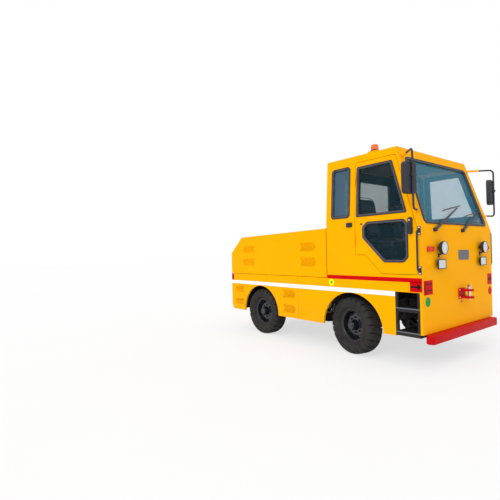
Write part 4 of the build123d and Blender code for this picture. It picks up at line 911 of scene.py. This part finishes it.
lenses, rims, cans = [], [], []
for hand in HANDS.values():
    y, centre = hand * round_y, (panel_x, hand * round_y, round_z)
    lenses.append(lathe("lens", dome, centre, (1, 0, 0), 64, lens_ribs))
    rims.append(lathe("rim", round_rim, centre, (1, 0, 0), 64))
    cans.append(lathe("can", round_can, centre, (1, 0, 0), 64))
    cans.append(slab("foot", box_outline(y - 14, y + 14, 1250, 1300, 6), on_front, 0, 14, 3))
    stem = [(panel_x + 34, y, 1300), (panel_x + 26, y, 1285), (panel_x + 8, y, 1274)]
    cans.append(tube("stem", stem, 9.0))
    y = hand * work_y
    lenses.append(slab("lens", box_round(y, work_z, *work_lens, 6), on_front, 38, 46, 2, crown=4))
    (u, v), bar = work_half, frame_bar
    for u0, u1, v0, v1 in ((-u, u, -v, bar - v), (-u, u, v - bar, v),
                           (-u, bar - u, -v, v), (u - bar, u, -v, v)):
        frame_side = box_outline(y + u0, y + u1, work_z + v0, work_z + v1, 3)
        rims.append(slab("rim", frame_side, on_front, 34, 49, 2.5))
    back, middle = box_round(y, work_z, *work_back, 12), np.array([y, work_z])
    rings = [on_front(*(middle + (back - middle) * share).T, np.full(len(back), float(w)))
             for share, w in ((0.42, 0), (0.5, 10), (0.8, 24), (1.0, 34), (1.0, 40))]
    cans.append(grid_piece("body", np.stack(rings), closed_columns=True, capped=True))
ready(joined("lamp_glasses", lenses), "root", lamp_lens, "lamp_lens", "lamp_lenses")
ready(joined("lamp_cans", cans), "root", black_plastic, "black_plastic", "lamp_housings")
ready(joined("lamp_rims", rims), "root", black_plastic, "black_plastic")
feet = [(panel_x + 14, hand * round_y, 1272.0) for hand in HANDS.values()]
ready(bolts("lamp_foot_bolts", feet, (1, 0, 0), 7.0), "root", steel, "pin_steel")
show("lamps", since)

# %% Signals
since = len(made)
signal_half, base_margin, signal_rib_pitch = (64, 28), 2, 14
signals, bases = [], []
for place, signal_y, z in ((on_front, 747.0, 1350.0), (on_rear, 780.0, 900.0)):
    for hand in HANDS.values():
        y, (half_u, half_v) = hand * signal_y, signal_half
        base = box_round(y, z, half_u + base_margin, half_v + base_margin, 9)
        bases.append(slab("base", base, place, -1, 5, 1.5))
        signals.append(slab("lens", box_round(y, z, half_u, half_v, 8), place, 3, 22, 5, crown=5))
        for k in range(-4, 5):
            rib_y = y + k * signal_rib_pitch
            rib = box_outline(rib_y - 2, rib_y + 2, z - 22, z + 22, 1.9)
            signals.append(slab("rib", rib, place, 20, 26.5, 1.5))
ready(joined("signal_lenses", signals), "root", signal_lens, "signal_lens", "signal_lamps")
ready(joined("signal_bases", bases), "root", black_plastic, "black_plastic")
show("signals", since)

# %% [markdown]
# ## Beacon
# The beacon is an orange dome with fine upright flutes, on a black base and a rubber pad. All three
# are turned profiles. The flutes are a wave round the turn, added only outside the smooth top.

# %% Beacon dome, base and pad
since = len(made)
beacon_at = (1103.0, -720.0, 2606.0)
beacon_profile = [(42, 14), (46, 16), (47, 20), (46.5, 40), (46, 58), (45, 68), (42, 76), (36, 82),
                  (26, 86), (12, 88), (0, 88.5)]
base_profile = [(0, 0), (52, 0), (53, 3), (53, 9), (50, 12), (50, 16), (47.6, 18), (44, 18)]
pad_profile = [(0, 0.5), (58, 0.5), (58, -2)]
flute_count, flute_from = 24, 30


def flutes(turn, radius):
    """Upright flutes: a cosine wave round the turn, outside a radius"""
    return 0.5 * np.cos(flute_count * turn) * (radius > flute_from)


beacon_dome = lathe("beacon_dome", beacon_profile, beacon_at, (0, 0, 1), 72, flutes)
ready(beacon_dome, "root", beacon_lens, "beacon_lens", "beacon")
beacon_base = lathe("beacon_base", base_profile, beacon_at, (0, 0, 1), 48)
ready(beacon_base, "root", black_plastic, "black_plastic")
beacon_pad = lathe("beacon_pad", pad_profile, beacon_at, (0, 0, 1), 40)
ready(beacon_pad, "root", seal_rubber, "seal_rubber")
show("beacon", since)

# %% [markdown]
# ## Mirrors
# Each mirror is a black shell with a rounded back, clamped to its tube by a ball joint, and a flat
# bright glass that faces the driver, behind. The back is rounded far more than the front, so the
# shell is two stacked outlines and not one box with equal edges.

# %% Mirror shells, glasses and clamps
since = len(made)
mirror_toe, mirror_at, mirror_joint = radians(9.0), (1789.0, 1075.0, 2120.0), (1801.0, 1075.0, 2147.0)
ball = [(0, 24), (9, 22.5), (17, 17), (22, 9), (23.5, 0), (22, -9), (17, -17), (9, -22.5), (0, -24)]
collar = [(13, -16), (17, -14), (17, 14), (13, 16)]


def on_mirror(hand):
    """Placing on a mirror's back: u is across, v is up and w is forward, turned by the toe angle"""
    toe = hand * mirror_toe
    across, ahead = np.array([-sin(toe), cos(toe), 0]), np.array([cos(toe), sin(toe), 0])
    origin = np.array(mirror_at) * (1, hand, 1)

    def place(u, v, w):
        return origin + u[:, None] * across + v[:, None] * [0, 0, 1] + w[:, None] * ahead
    return place


shells, glasses, clamps = [], [], []
for hand in HANDS.values():
    place, outline = on_mirror(hand), box_outline(-92, 92, -166, 184, 44, 10)
    shells.append(slab("shell", outline, place, -62, -22, 1.0))
    shells.append(slab("back", outline, place, -24, 0, 20, 8))
    ribs = [box_outline(u - 3, u + 3, -120, 120, 2.8) for u in (-48, -28, 28, 48)]
    shells += [slab("rib", rib, place, -10, 1.6, 1.4) for rib in ribs]
    glass = box_outline(-84, 84, -158, 176, 38, 10)
    glasses.append(slab("glass", glass, place, -63.5, -60, 0.8, both=True))
    joint = np.array(mirror_joint) * (1, hand, 1)
    clamps.append(lathe("ball", ball, joint, (1, 0, 0), 24))
    clamps.append(lathe("collar", collar, joint, (0, 0, 1), 24))
    clamps.append(bolts("clamp bolts", [joint + (0, s * 26, 6) for s in (-1, 1)], (1, 0, 0), 7.0))
ready(joined("mirror_shells", shells), "root", black_plastic, "black_plastic", "mirror_heads")
ready(joined("mirror_glasses", glasses), "root", mirror_glass, "window_glass")
ready(joined("mirror_clamps", clamps), "root", black_plastic, "black_plastic")
show("mirrors", since)

# %% [markdown]
# ## Bumper and small iron
# The bumper is a square tube with rounded ends, painted bright red, on three brackets. The jaws and
# the grab rails are bolted on with zinc plated bolts. Seen from a few metres, a hexagon with a washer
# is all that shows of a bolt, so one small shape is repeated.

# %% Bumper, bolts, door catches and wiper pivots
since = len(made)
bumper_rear_x, bumper_front_x, bumper_half, bumper_low, bumper_high = 1786, 1885, 877, 300, 399
outline = box_outline(bumper_rear_x, bumper_front_x, -bumper_half, bumper_half, 44, 10)
bumper = [slab("tube", outline, level, bumper_low, bumper_high, 7, 5, both=True)]
bumper += [slab("arm", box_outline(1770, 1792, y - 35, y + 35, 4), level, 318, 378, 2, both=True)
           for y in (-620, 0, 620)]
ready(joined("red_bumper", bumper), "root", red_paint, "red_paint", "front_bumper")
jaw_corners = [(y, z) for y in (-70, 70) for z in (748, 840)]
jaw_bolts = [bolts("b", [(end * (panel_x + 14), y, z) for y, z in jaw_corners], (end, 0, 0), 9.0)
             for end in (-1, 1)]
ready(joined("jaw_bolts", jaw_bolts), "root", steel, "pin_steel")
rail_heights = [z + s * 34 for z in (1116, 1556) for s in (-1, 1)]
rail_bolts = [bolts("b", [(1781, hand * 938.0, z) for z in rail_heights], (0, hand, 0), 7.0)
              for hand in HANDS.values()]
ready(joined("grab_rail_bolts", rail_bolts), "root", steel, "pin_steel")
catches = [slab("catch", box_outline(802, 888, 1651, 1710, 12), side, 0, 20.5, 5) for side in sides]
catches += [slab("mouth", box_outline(868, 884, 1664, 1697, 5), side, 19, 24, 2) for side in sides]
ready(joined("door_catches", catches), "root", black_plastic, "black_plastic")
nut = [(0, 38), (9, 37.5), (13, 35), (15, 30), (20, 29), (21, 26), (21, 10), (24, 8), (24, -1)]
pivots = [lathe("nut", nut, (panel_x, y, 1570.0), (1, 0, 0), 24) for y in (-640.0, 50.0)]
ready(joined("wiper_pivots", pivots), "root", black_plastic, "black_plastic")
show("fittings", since)

# %% [markdown]
# ## Door handles
# A moulded cover with a grip bar stands on each door, with a bright lock at its top. They ride on the
# doors, so they swing with them.

# %% Covers, grips and locks
since = len(made)
handle_x, handle_z, lock_z = 1684, 1617, 1678.0
lock_profile = [(0, 39), (9, 38.5), (11, 36), (11, 30)]
for side, hand in HANDS.items():
    slot_shape = box_outline(handle_x - 22, handle_x + 22, handle_z - 93, handle_z + 93, 21.9, 10)
    cover = [slab("cover", drawn_in(slot_shape, -2.0), on_side(hand), 0, 34.5, 8, 5)]
    cover.append(slab("grip", box_outline(1674, 1694, 1556, 1650, 9.5), on_side(hand), 30, 40, 4))
    ready(joined("door_handle_" + side, cover), "door_" + side, black_plastic, "black_plastic")
    lock_at = (float(handle_x), hand * half_width, lock_z)
    lock = lathe("door_lock_" + side, lock_profile, lock_at, (0, hand, 0), 24)
    ready(lock, "door_" + side, steel, "pin_steel")
show("handles", since)

# %% [markdown]
# ## Steps
# The entry steps are a welded angle frame. The treads are folded plate with a raised pattern of short
# bars, turned by a quarter from one to the next, and an edge worn bright by boots. The bars are real
# slabs with few faces, because low light picks out their sides.

# %% Tread plates
since = len(made)
tread_rear, tread_front, tread_inner, tread_outer = 1472, 1768, 694.0, 928.0
bar_pitch, bar_long, bar_short = 22.0, 8, 2.5
treads, noses = [], []
for hand in HANDS.values():
    for top_z in (412.0, 683.0):
        y0, y1 = sorted((hand * tread_inner, hand * tread_outer))
        plan = box_outline(tread_rear, tread_front, y0, y1, 3)
        treads.append(slab("tread", plan, level, top_z - 1, top_z + 2, 0.8))
        x, y = np.meshgrid(np.arange(1490, 1756, bar_pitch), np.arange(y0 + 16, y1 - 8, bar_pitch),
                           indexing="ij")
        for k, (u, v) in enumerate(zip(x.ravel(), y.ravel())):
            long_u, long_v = (bar_long, bar_short) if k % 2 else (bar_short, bar_long)
            bar = box_outline(u - long_u, u + long_u, v - long_v, v + long_v, 2.4, 3)
            treads.append(slab("bar", bar, level, top_z + 1, top_z + 4, 1.0, 1))
        nose = [(tread_rear, top_z - 9), (tread_front, top_z - 9), (tread_front, top_z + 3),
                (tread_rear, top_z + 3)]
        noses.append(slab("nose", rounded(nose, 2), on_side(hand, tread_outer), 0, 5, 1.5))
ready(joined("step_treads", treads), "root", chassis, "chassis_paint")
ready(joined("step_noses", noses), "root", plate_grey, "chassis_paint")
show("steps", since)

# %% [markdown]
# ## Seats
# The seats are upholstered in black vinyl over foam. A box with round edges looks like wood, because
# real padding swells between its seams. So each cushion starts as its plain shape drawn a little
# smaller, is remeshed into an even skin, and is blown up for twenty frames by the cloth solver with
# gravity off, the way padding fills a cover. Its movement is capped, so the base stays flat on the
# seat frame. The sewn channels are pressed in afterwards, where the solver can't blur them.

# %% Padding
voxel, quick_voxel = 0.0065, 0.009
cloth_frames, cloth_pressure = 20, 4.0


def mesh_points(piece):
    """A mesh's points as an (n, 3) array, in metres"""
    points = np.empty(len(piece.data.vertices) * 3)
    piece.data.vertices.foreach_get("co", points)
    return points.reshape(-1, 3)


def puffed(name, outline, place, low, high, edge, cap, free):
    """A stuffed cushion: slab, voxel remesh, cloth under pressure, and a cap on how far a point moves.

    Each point goes along its cloth movement, shortened to the cap, times the share that free gives.
    """
    piece = slab(name, outline, place, low, high, edge, 6, both=True)
    remesh = piece.modifiers.new("skin", "REMESH")
    remesh.mode, remesh.voxel_size = "VOXEL", voxel
    bpy.context.view_layer.objects.active = piece
    bpy.ops.object.modifier_apply(modifier="skin")
    before = mesh_points(piece)
    cloth = piece.modifiers.new("stuffing", "CLOTH")
    cloth.settings.use_pressure, cloth.settings.uniform_pressure_force = True, cloth_pressure
    cloth.settings.effector_weights.gravity = 0.0
    for step in range(cloth_frames):
        bpy.context.scene.frame_set(step + 1)
    bpy.ops.object.modifier_apply(modifier="stuffing")
    bpy.context.scene.frame_set(1)
    move = mesh_points(piece) - before
    length = np.linalg.norm(move, axis=1, keepdims=True)
    move *= np.minimum(1.0, cap * MM / np.maximum(length, 1e-9))
    move *= free(before / MM)[:, None]
    return piece, before + move


def settle(piece, points):
    """Put moved points back into a cushion's mesh and smooth it with one subdivision"""
    piece.data.vertices.foreach_set("co", points.ravel())
    piece.data.update()
    piece.data.polygons.foreach_set("use_smooth", [True] * len(piece.data.polygons))
    finer = piece.modifiers.new("finer", "SUBSURF")
    finer.levels = finer.render_levels = 1
    bpy.context.view_layer.objects.active = piece
    bpy.ops.object.modifier_apply(modifier="finer")


def channel(distance, width):
    """Depth share of a sewn channel: 1 on the seam, falling off as a bell curve of its width"""
    return np.exp(-(distance / width) ** 2)


# %% Seat cushion
since = len(made)
seat_x, seat_y, seat_top = 1090.0, 430.0, 1500.0
cushion_low, cushion_high, cushion_half_x, cushion_half_y = seat_top - 128, seat_top - 16, 222, 226
panel_half_x, panel_half_y = 150, 160
border_depth, channel_depth, channel_width = 9, 7, 6


def above_base(points):
    """The base is held, and points are free from 30 mm above it"""
    return np.clip((points[:, 2] - cushion_low) / 30, 0, 1)


outline = box_outline(seat_x - cushion_half_x, seat_x + cushion_half_x,
                      -seat_y - cushion_half_y, -seat_y + cushion_half_y, 70, 8)
cushion, points = puffed("seat cushion", outline, level, cushion_low, cushion_high, 34, 22, above_base)
top = points[:, 2] / MM > seat_top - 45
x, y = points[:, 0] / MM - seat_x, points[:, 1] / MM + seat_y
inner = np.maximum(np.abs(x) / panel_half_x, np.abs(y) / panel_half_y)
border = channel((inner - 1) * panel_half_x, channel_width) * border_depth
seams = sum(channel(x - k, channel_width) for k in (-75, 0, 75))
points[:, 2] -= top * (border + (inner < 1) * seams * channel_depth) * MM
settle(cushion, points)

# %% Seat back
back_lean = radians(10)
back_across, back_up = np.array([0, 1.0, 0]), np.array([-sin(back_lean), 0, cos(back_lean)])
back_out = np.array([cos(back_lean), 0, sin(back_lean)])
back_origin = np.array([seat_x - 235, -seat_y, seat_top + 2.0])
panel_half_u, panel_middle_v, panel_half_v = 155, 290, 215


def on_seat_back(u, v, w):
    """Placing on the leaning back: u is across, v is up it and w is towards the driver"""
    return back_origin + u[:, None] * back_across + v[:, None] * back_up + w[:, None] * back_out


back, points = puffed("seat back", box_outline(-226, 226, 12, 588, 90, 10), on_seat_back, -104, -18,
                      30, 20, lambda p: np.ones(len(p)))
u, v, w = ((points / MM - back_origin) @ np.stack([back_across, back_up, back_out], 1)).T
inner = np.maximum(np.abs(u) / panel_half_u, np.abs(v - panel_middle_v) / panel_half_v)
border = channel((inner - 1) * panel_half_u, channel_width) * border_depth
seams = sum(channel(v - k, channel_width) for k in (160, 245, 330, 415))
depth = (w > -50) * (border + (inner < 1) * seams * channel_depth)
points -= depth[:, None] * MM * back_out
settle(back, points)


# %% The second seat and the piping
def copied(piece, name, dy):
    """The same cushion for the other seat, moved across in its mesh"""
    twin = bpy.data.objects.new(name, piece.data.copy())
    bpy.context.scene.collection.objects.link(twin)
    twin.data.transform(Matrix.Translation((0, dy * MM, 0)))
    return twin


seat_parts = {"seat_cushion_right": cushion, "seat_back_right": back}
seat_parts["seat_cushion_left"] = copied(cushion, "seat_cushion_left", 2 * seat_y)
seat_parts["seat_back_left"] = copied(back, "seat_back_left", 2 * seat_y)
for name, piece in seat_parts.items():
    piece.name = name
    ready(piece, "root", seat_vinyl, "seat_vinyl", "seat_cushions")
piping, piping_radius = [], 4.5
for hand in HANDS.values():
    loop = box_outline(seat_x - 233, seat_x + 233, hand * seat_y - 237, hand * seat_y + 237, 74, 10)
    path = np.column_stack([loop, np.full(len(loop), seat_top - 44)])
    piping.append(tube("piping", path, piping_radius, 8, closed=True))
    loop = box_outline(-236, 236, 3, 597, 94, 12)
    ring = on_seat_back(loop[:, 0], loop[:, 1], np.full(len(loop), -44.0)) + (0, (hand + 1) * seat_y, 0)
    piping.append(tube("piping", ring, piping_radius, 8, closed=True))
ready(joined("seat_piping", piping), "root", seal_strip, "seat_vinyl")
show("seats", since)

# %% [markdown]
# ## Inside the cab
# Through the glass the cab shows a pale headliner, lined walls, a rubber mat and a plain dashboard
# with a few dials, switches and pedals. They are seen small and behind tinted glass, so plates with
# soft edges are enough, and the linings stop short of the walls so that nothing lies in one plane. The
# wall linings and the trim round the windows inside are near black, which is painted shade of the dim
# cab.

# %% Headliner, wall lining and mat
since = len(made)
headliner = slab("headliner", box_outline(500, 1462, -838, 838, 30), level, 2506, 2526, 6)
ready(headliner, "root", lining, "black_plastic")
# The rear wall's lining, round its window: each panel's sides, foot and top
wall_panels = [(-880, -610, 1000, 2500), (610, 880, 1000, 2500), (-610, 610, 1000, 1772),
               (-610, 610, 2408, 2500)]
wall_clearance = 46
liners = []
for u0, u1, v0, v1 in wall_panels:
    corners = [(np.sign(u) * min(abs(u), float(side_y(np.array(v))) - wall_clearance), v)
               for u, v in ((u0, v0), (u1, v0), (u1, v1), (u0, v1))]
    liners.append(slab("wall", np.array(corners, float), on_cab_back, -44, -40.5, 0.3))
# The near black wall lining is painted shade of the dim cab
ready(joined("cab_lining_painted_shade", liners), "root", wall_trim, "black_plastic")
mat = [slab("mat", box_outline(505, 1760, -888, 888, 12), level, 986, 993, 3)]
mat += [slab("rib", box_outline(1330, 1750, v - 5, v + 5, 4), level, 992, 996, 2)
        for v in np.arange(-850, 851, 34.0)]
ready(joined("floor_mat", mat), "root", mat_rubber, "seal_rubber")
show("linings", since)

# %% Dashboard, pedals and stalks
since = len(made)
dash_x, dial_z, wheel_y, pedal_foot = 1560.0, 1560.0, -430, 1080


def on_dash(u, v, w):
    """The dashboard's upright face, seen by the driver: u across, v up, w towards the seats"""
    return np.stack([dash_x - w, u, v], -1)


def on_pedal(u, v, w):
    """A pedal's face, which leans forward by half of the height above its foot"""
    return np.stack([1640 - w + (v - pedal_foot) * 0.5, u, v], -1)


dash = [slab("binnacle", box_outline(-640, -220, 1512, 1608, 24), on_dash, -4, 22, 10, 4)]
dash += [slab("switch", box_outline(u - 14, u + 14, 1540, 1580, 4), on_dash, 0, 9, 3)
         for u in (-90, -40, 10, 60, 110)]
ready(joined("dash_binnacle", dash), "root", black_plastic, "black_plastic")
dial = [(0, 20), (36, 20), (38, 26), (43, 26), (44, 20), (44, 16)]
dials = [lathe("dial", dial, (dash_x, u, dial_z), (-1, 0, 0), 40) for u in (-560.0, -430.0, -300.0)]
ready(joined("dash_dials", dials), "root", plate_grey, "pin_steel")
pedal_ys = (-520, -340)
pedals = [slab("pad", box_outline(u - 36, u + 36, pedal_foot, 1150, 8), on_pedal, 0, 14, 4)
          for u in pedal_ys]
pedals += [tube("lever", [(1650, u, 1110), (1700, u, 1160), (1745, u, 1230)], 8) for u in pedal_ys]
ready(joined("pedals", pedals), "root", chassis, "chassis_paint")
stalks = [tube("stalk", [(1500, wheel_y + s * 40, 1700), (1510, wheel_y + s * 150, 1712),
                         (1512, wheel_y + s * 190, 1716)], 5.5) for s in (-1, 1)]
ready(joined("column_stalks", stalks), "root", black_plastic, "black_plastic")
show("inside", since)

# %% [markdown]
# ## Camera, floor and light
# The camera stands where the photograph was taken from, low and close to the front corner, with a
# wide lens. Its three axes are worked out from a heading, a slight upward tilt and a slight roll. The
# floor and the world are white to the camera, which keeps a pale background without more light on the
# vehicle; the floor still holds part of its own shading, so the vehicle's shadow stays.

# %% Camera
camera_place = np.array([4.005, -5.025, 1.358])
heading, rise, roll = radians(142.089), radians(0.347), radians(-1.295)
frame_pixels, focal_pixels, film_width = 500, 388.82, 36.0

ahead = np.array([cos(heading) * cos(rise), sin(heading) * cos(rise), sin(rise)])
sideways = np.cross(ahead, [0, 0, 1])
sideways /= np.linalg.norm(sideways)
upright = np.cross(sideways, ahead)
camera = bpy.data.objects.new("camera", bpy.data.cameras.new("camera"))
bpy.context.scene.collection.objects.link(camera)
pose = np.eye(4)
pose[:3, 0] = sideways * cos(roll) + upright * sin(roll)
pose[:3, 1] = upright * cos(roll) - sideways * sin(roll)
pose[:3, 2], pose[:3, 3] = -ahead, camera_place
camera.matrix_world = Matrix(pose.tolist())
camera.data.sensor_width = film_width
camera.data.lens = film_width * focal_pixels / frame_pixels
camera.data.clip_end = 200.0
bpy.context.scene.camera = camera
print("camera: lens", round(camera.data.lens, 2), "mm at", camera_place.tolist())

# %% Floor and world
floor_reach, shadow_share, ambient_strength = 60000.0, 0.34, 0.835
ends = (-floor_reach, floor_reach)
floor = grid_piece("floor", np.array([[[x, y, 0.0] for x in ends] for y in ends]))
floor_finish = Finish("pale floor", 0.9, Specular_IOR_Level=0.1)
clouds = floor_finish.noise(0.6)
pale = floor_finish.ramp(clouds, 0.2, 0.8, srgb(246, 246, 246), srgb(250, 250, 250))
floor_finish.link(pale, "Base Color")
seen = floor_finish.node("ShaderNodeLightPath")
white = floor_finish.node("ShaderNodeEmission", {"Color": (1, 1, 1, 1), "Strength": 1.0})
share = floor_finish.times(seen.outputs["Is Camera Ray"], 1 - shadow_share)
own = floor_finish.shader.outputs["BSDF"]
mixed = floor_finish.node("ShaderNodeMixShader", {0: share, 1: own, 2: white.outputs["Emission"]})
output = floor_finish.tree.nodes["Material Output"]
floor_finish.tree.links.new(mixed.outputs["Shader"], output.inputs["Surface"])
floor.data.materials.append(floor_finish.material)
floor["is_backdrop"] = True

world = bpy.data.worlds.new("studio")
bpy.context.scene.world = world
world.use_nodes = True
tree = world.node_tree
path = tree.nodes.new("ShaderNodeLightPath")
clear_view = tree.nodes.new("ShaderNodeMath")
clear_view.operation = "MAXIMUM"
tree.links.new(path.outputs["Is Camera Ray"], clear_view.inputs[0])
tree.links.new(path.outputs["Is Transmission Ray"], clear_view.inputs[1])
strength = tree.nodes.new("ShaderNodeMapRange")
strength.inputs["To Min"].default_value = ambient_strength
strength.inputs["To Max"].default_value = 1.0
tree.links.new(clear_view.outputs["Value"], strength.inputs["Value"])
tree.links.new(strength.outputs["Result"], tree.nodes["Background"].inputs["Strength"])
tree.nodes["Background"].inputs["Color"].default_value = (1.0, 1.0, 1.0, 1.0)


# %% Key light
def sun(name, toward, power, spread):
    """A soft sun that shines along a direction"""
    lamp = bpy.data.objects.new(name, bpy.data.lights.new(name, "SUN"))
    lamp.data.energy = power
    lamp.data.angle = radians(spread)
    lamp.rotation_euler = Vector(toward).to_track_quat("-Z", "Y").to_euler()
    bpy.context.scene.collection.objects.link(lamp)


sun("key", (-0.25, 0.85, -0.6), 1.13, 30)
bpy.context.scene.view_settings.view_transform = "Standard"

boxes = {"cad": cad_box, "visual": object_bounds()}
{key: [[float(v) for v in corner] for corner in pair] for key, pair in boxes.items()}
print("pieces:", len(made), "faces:", sum(faces for _, faces in made))
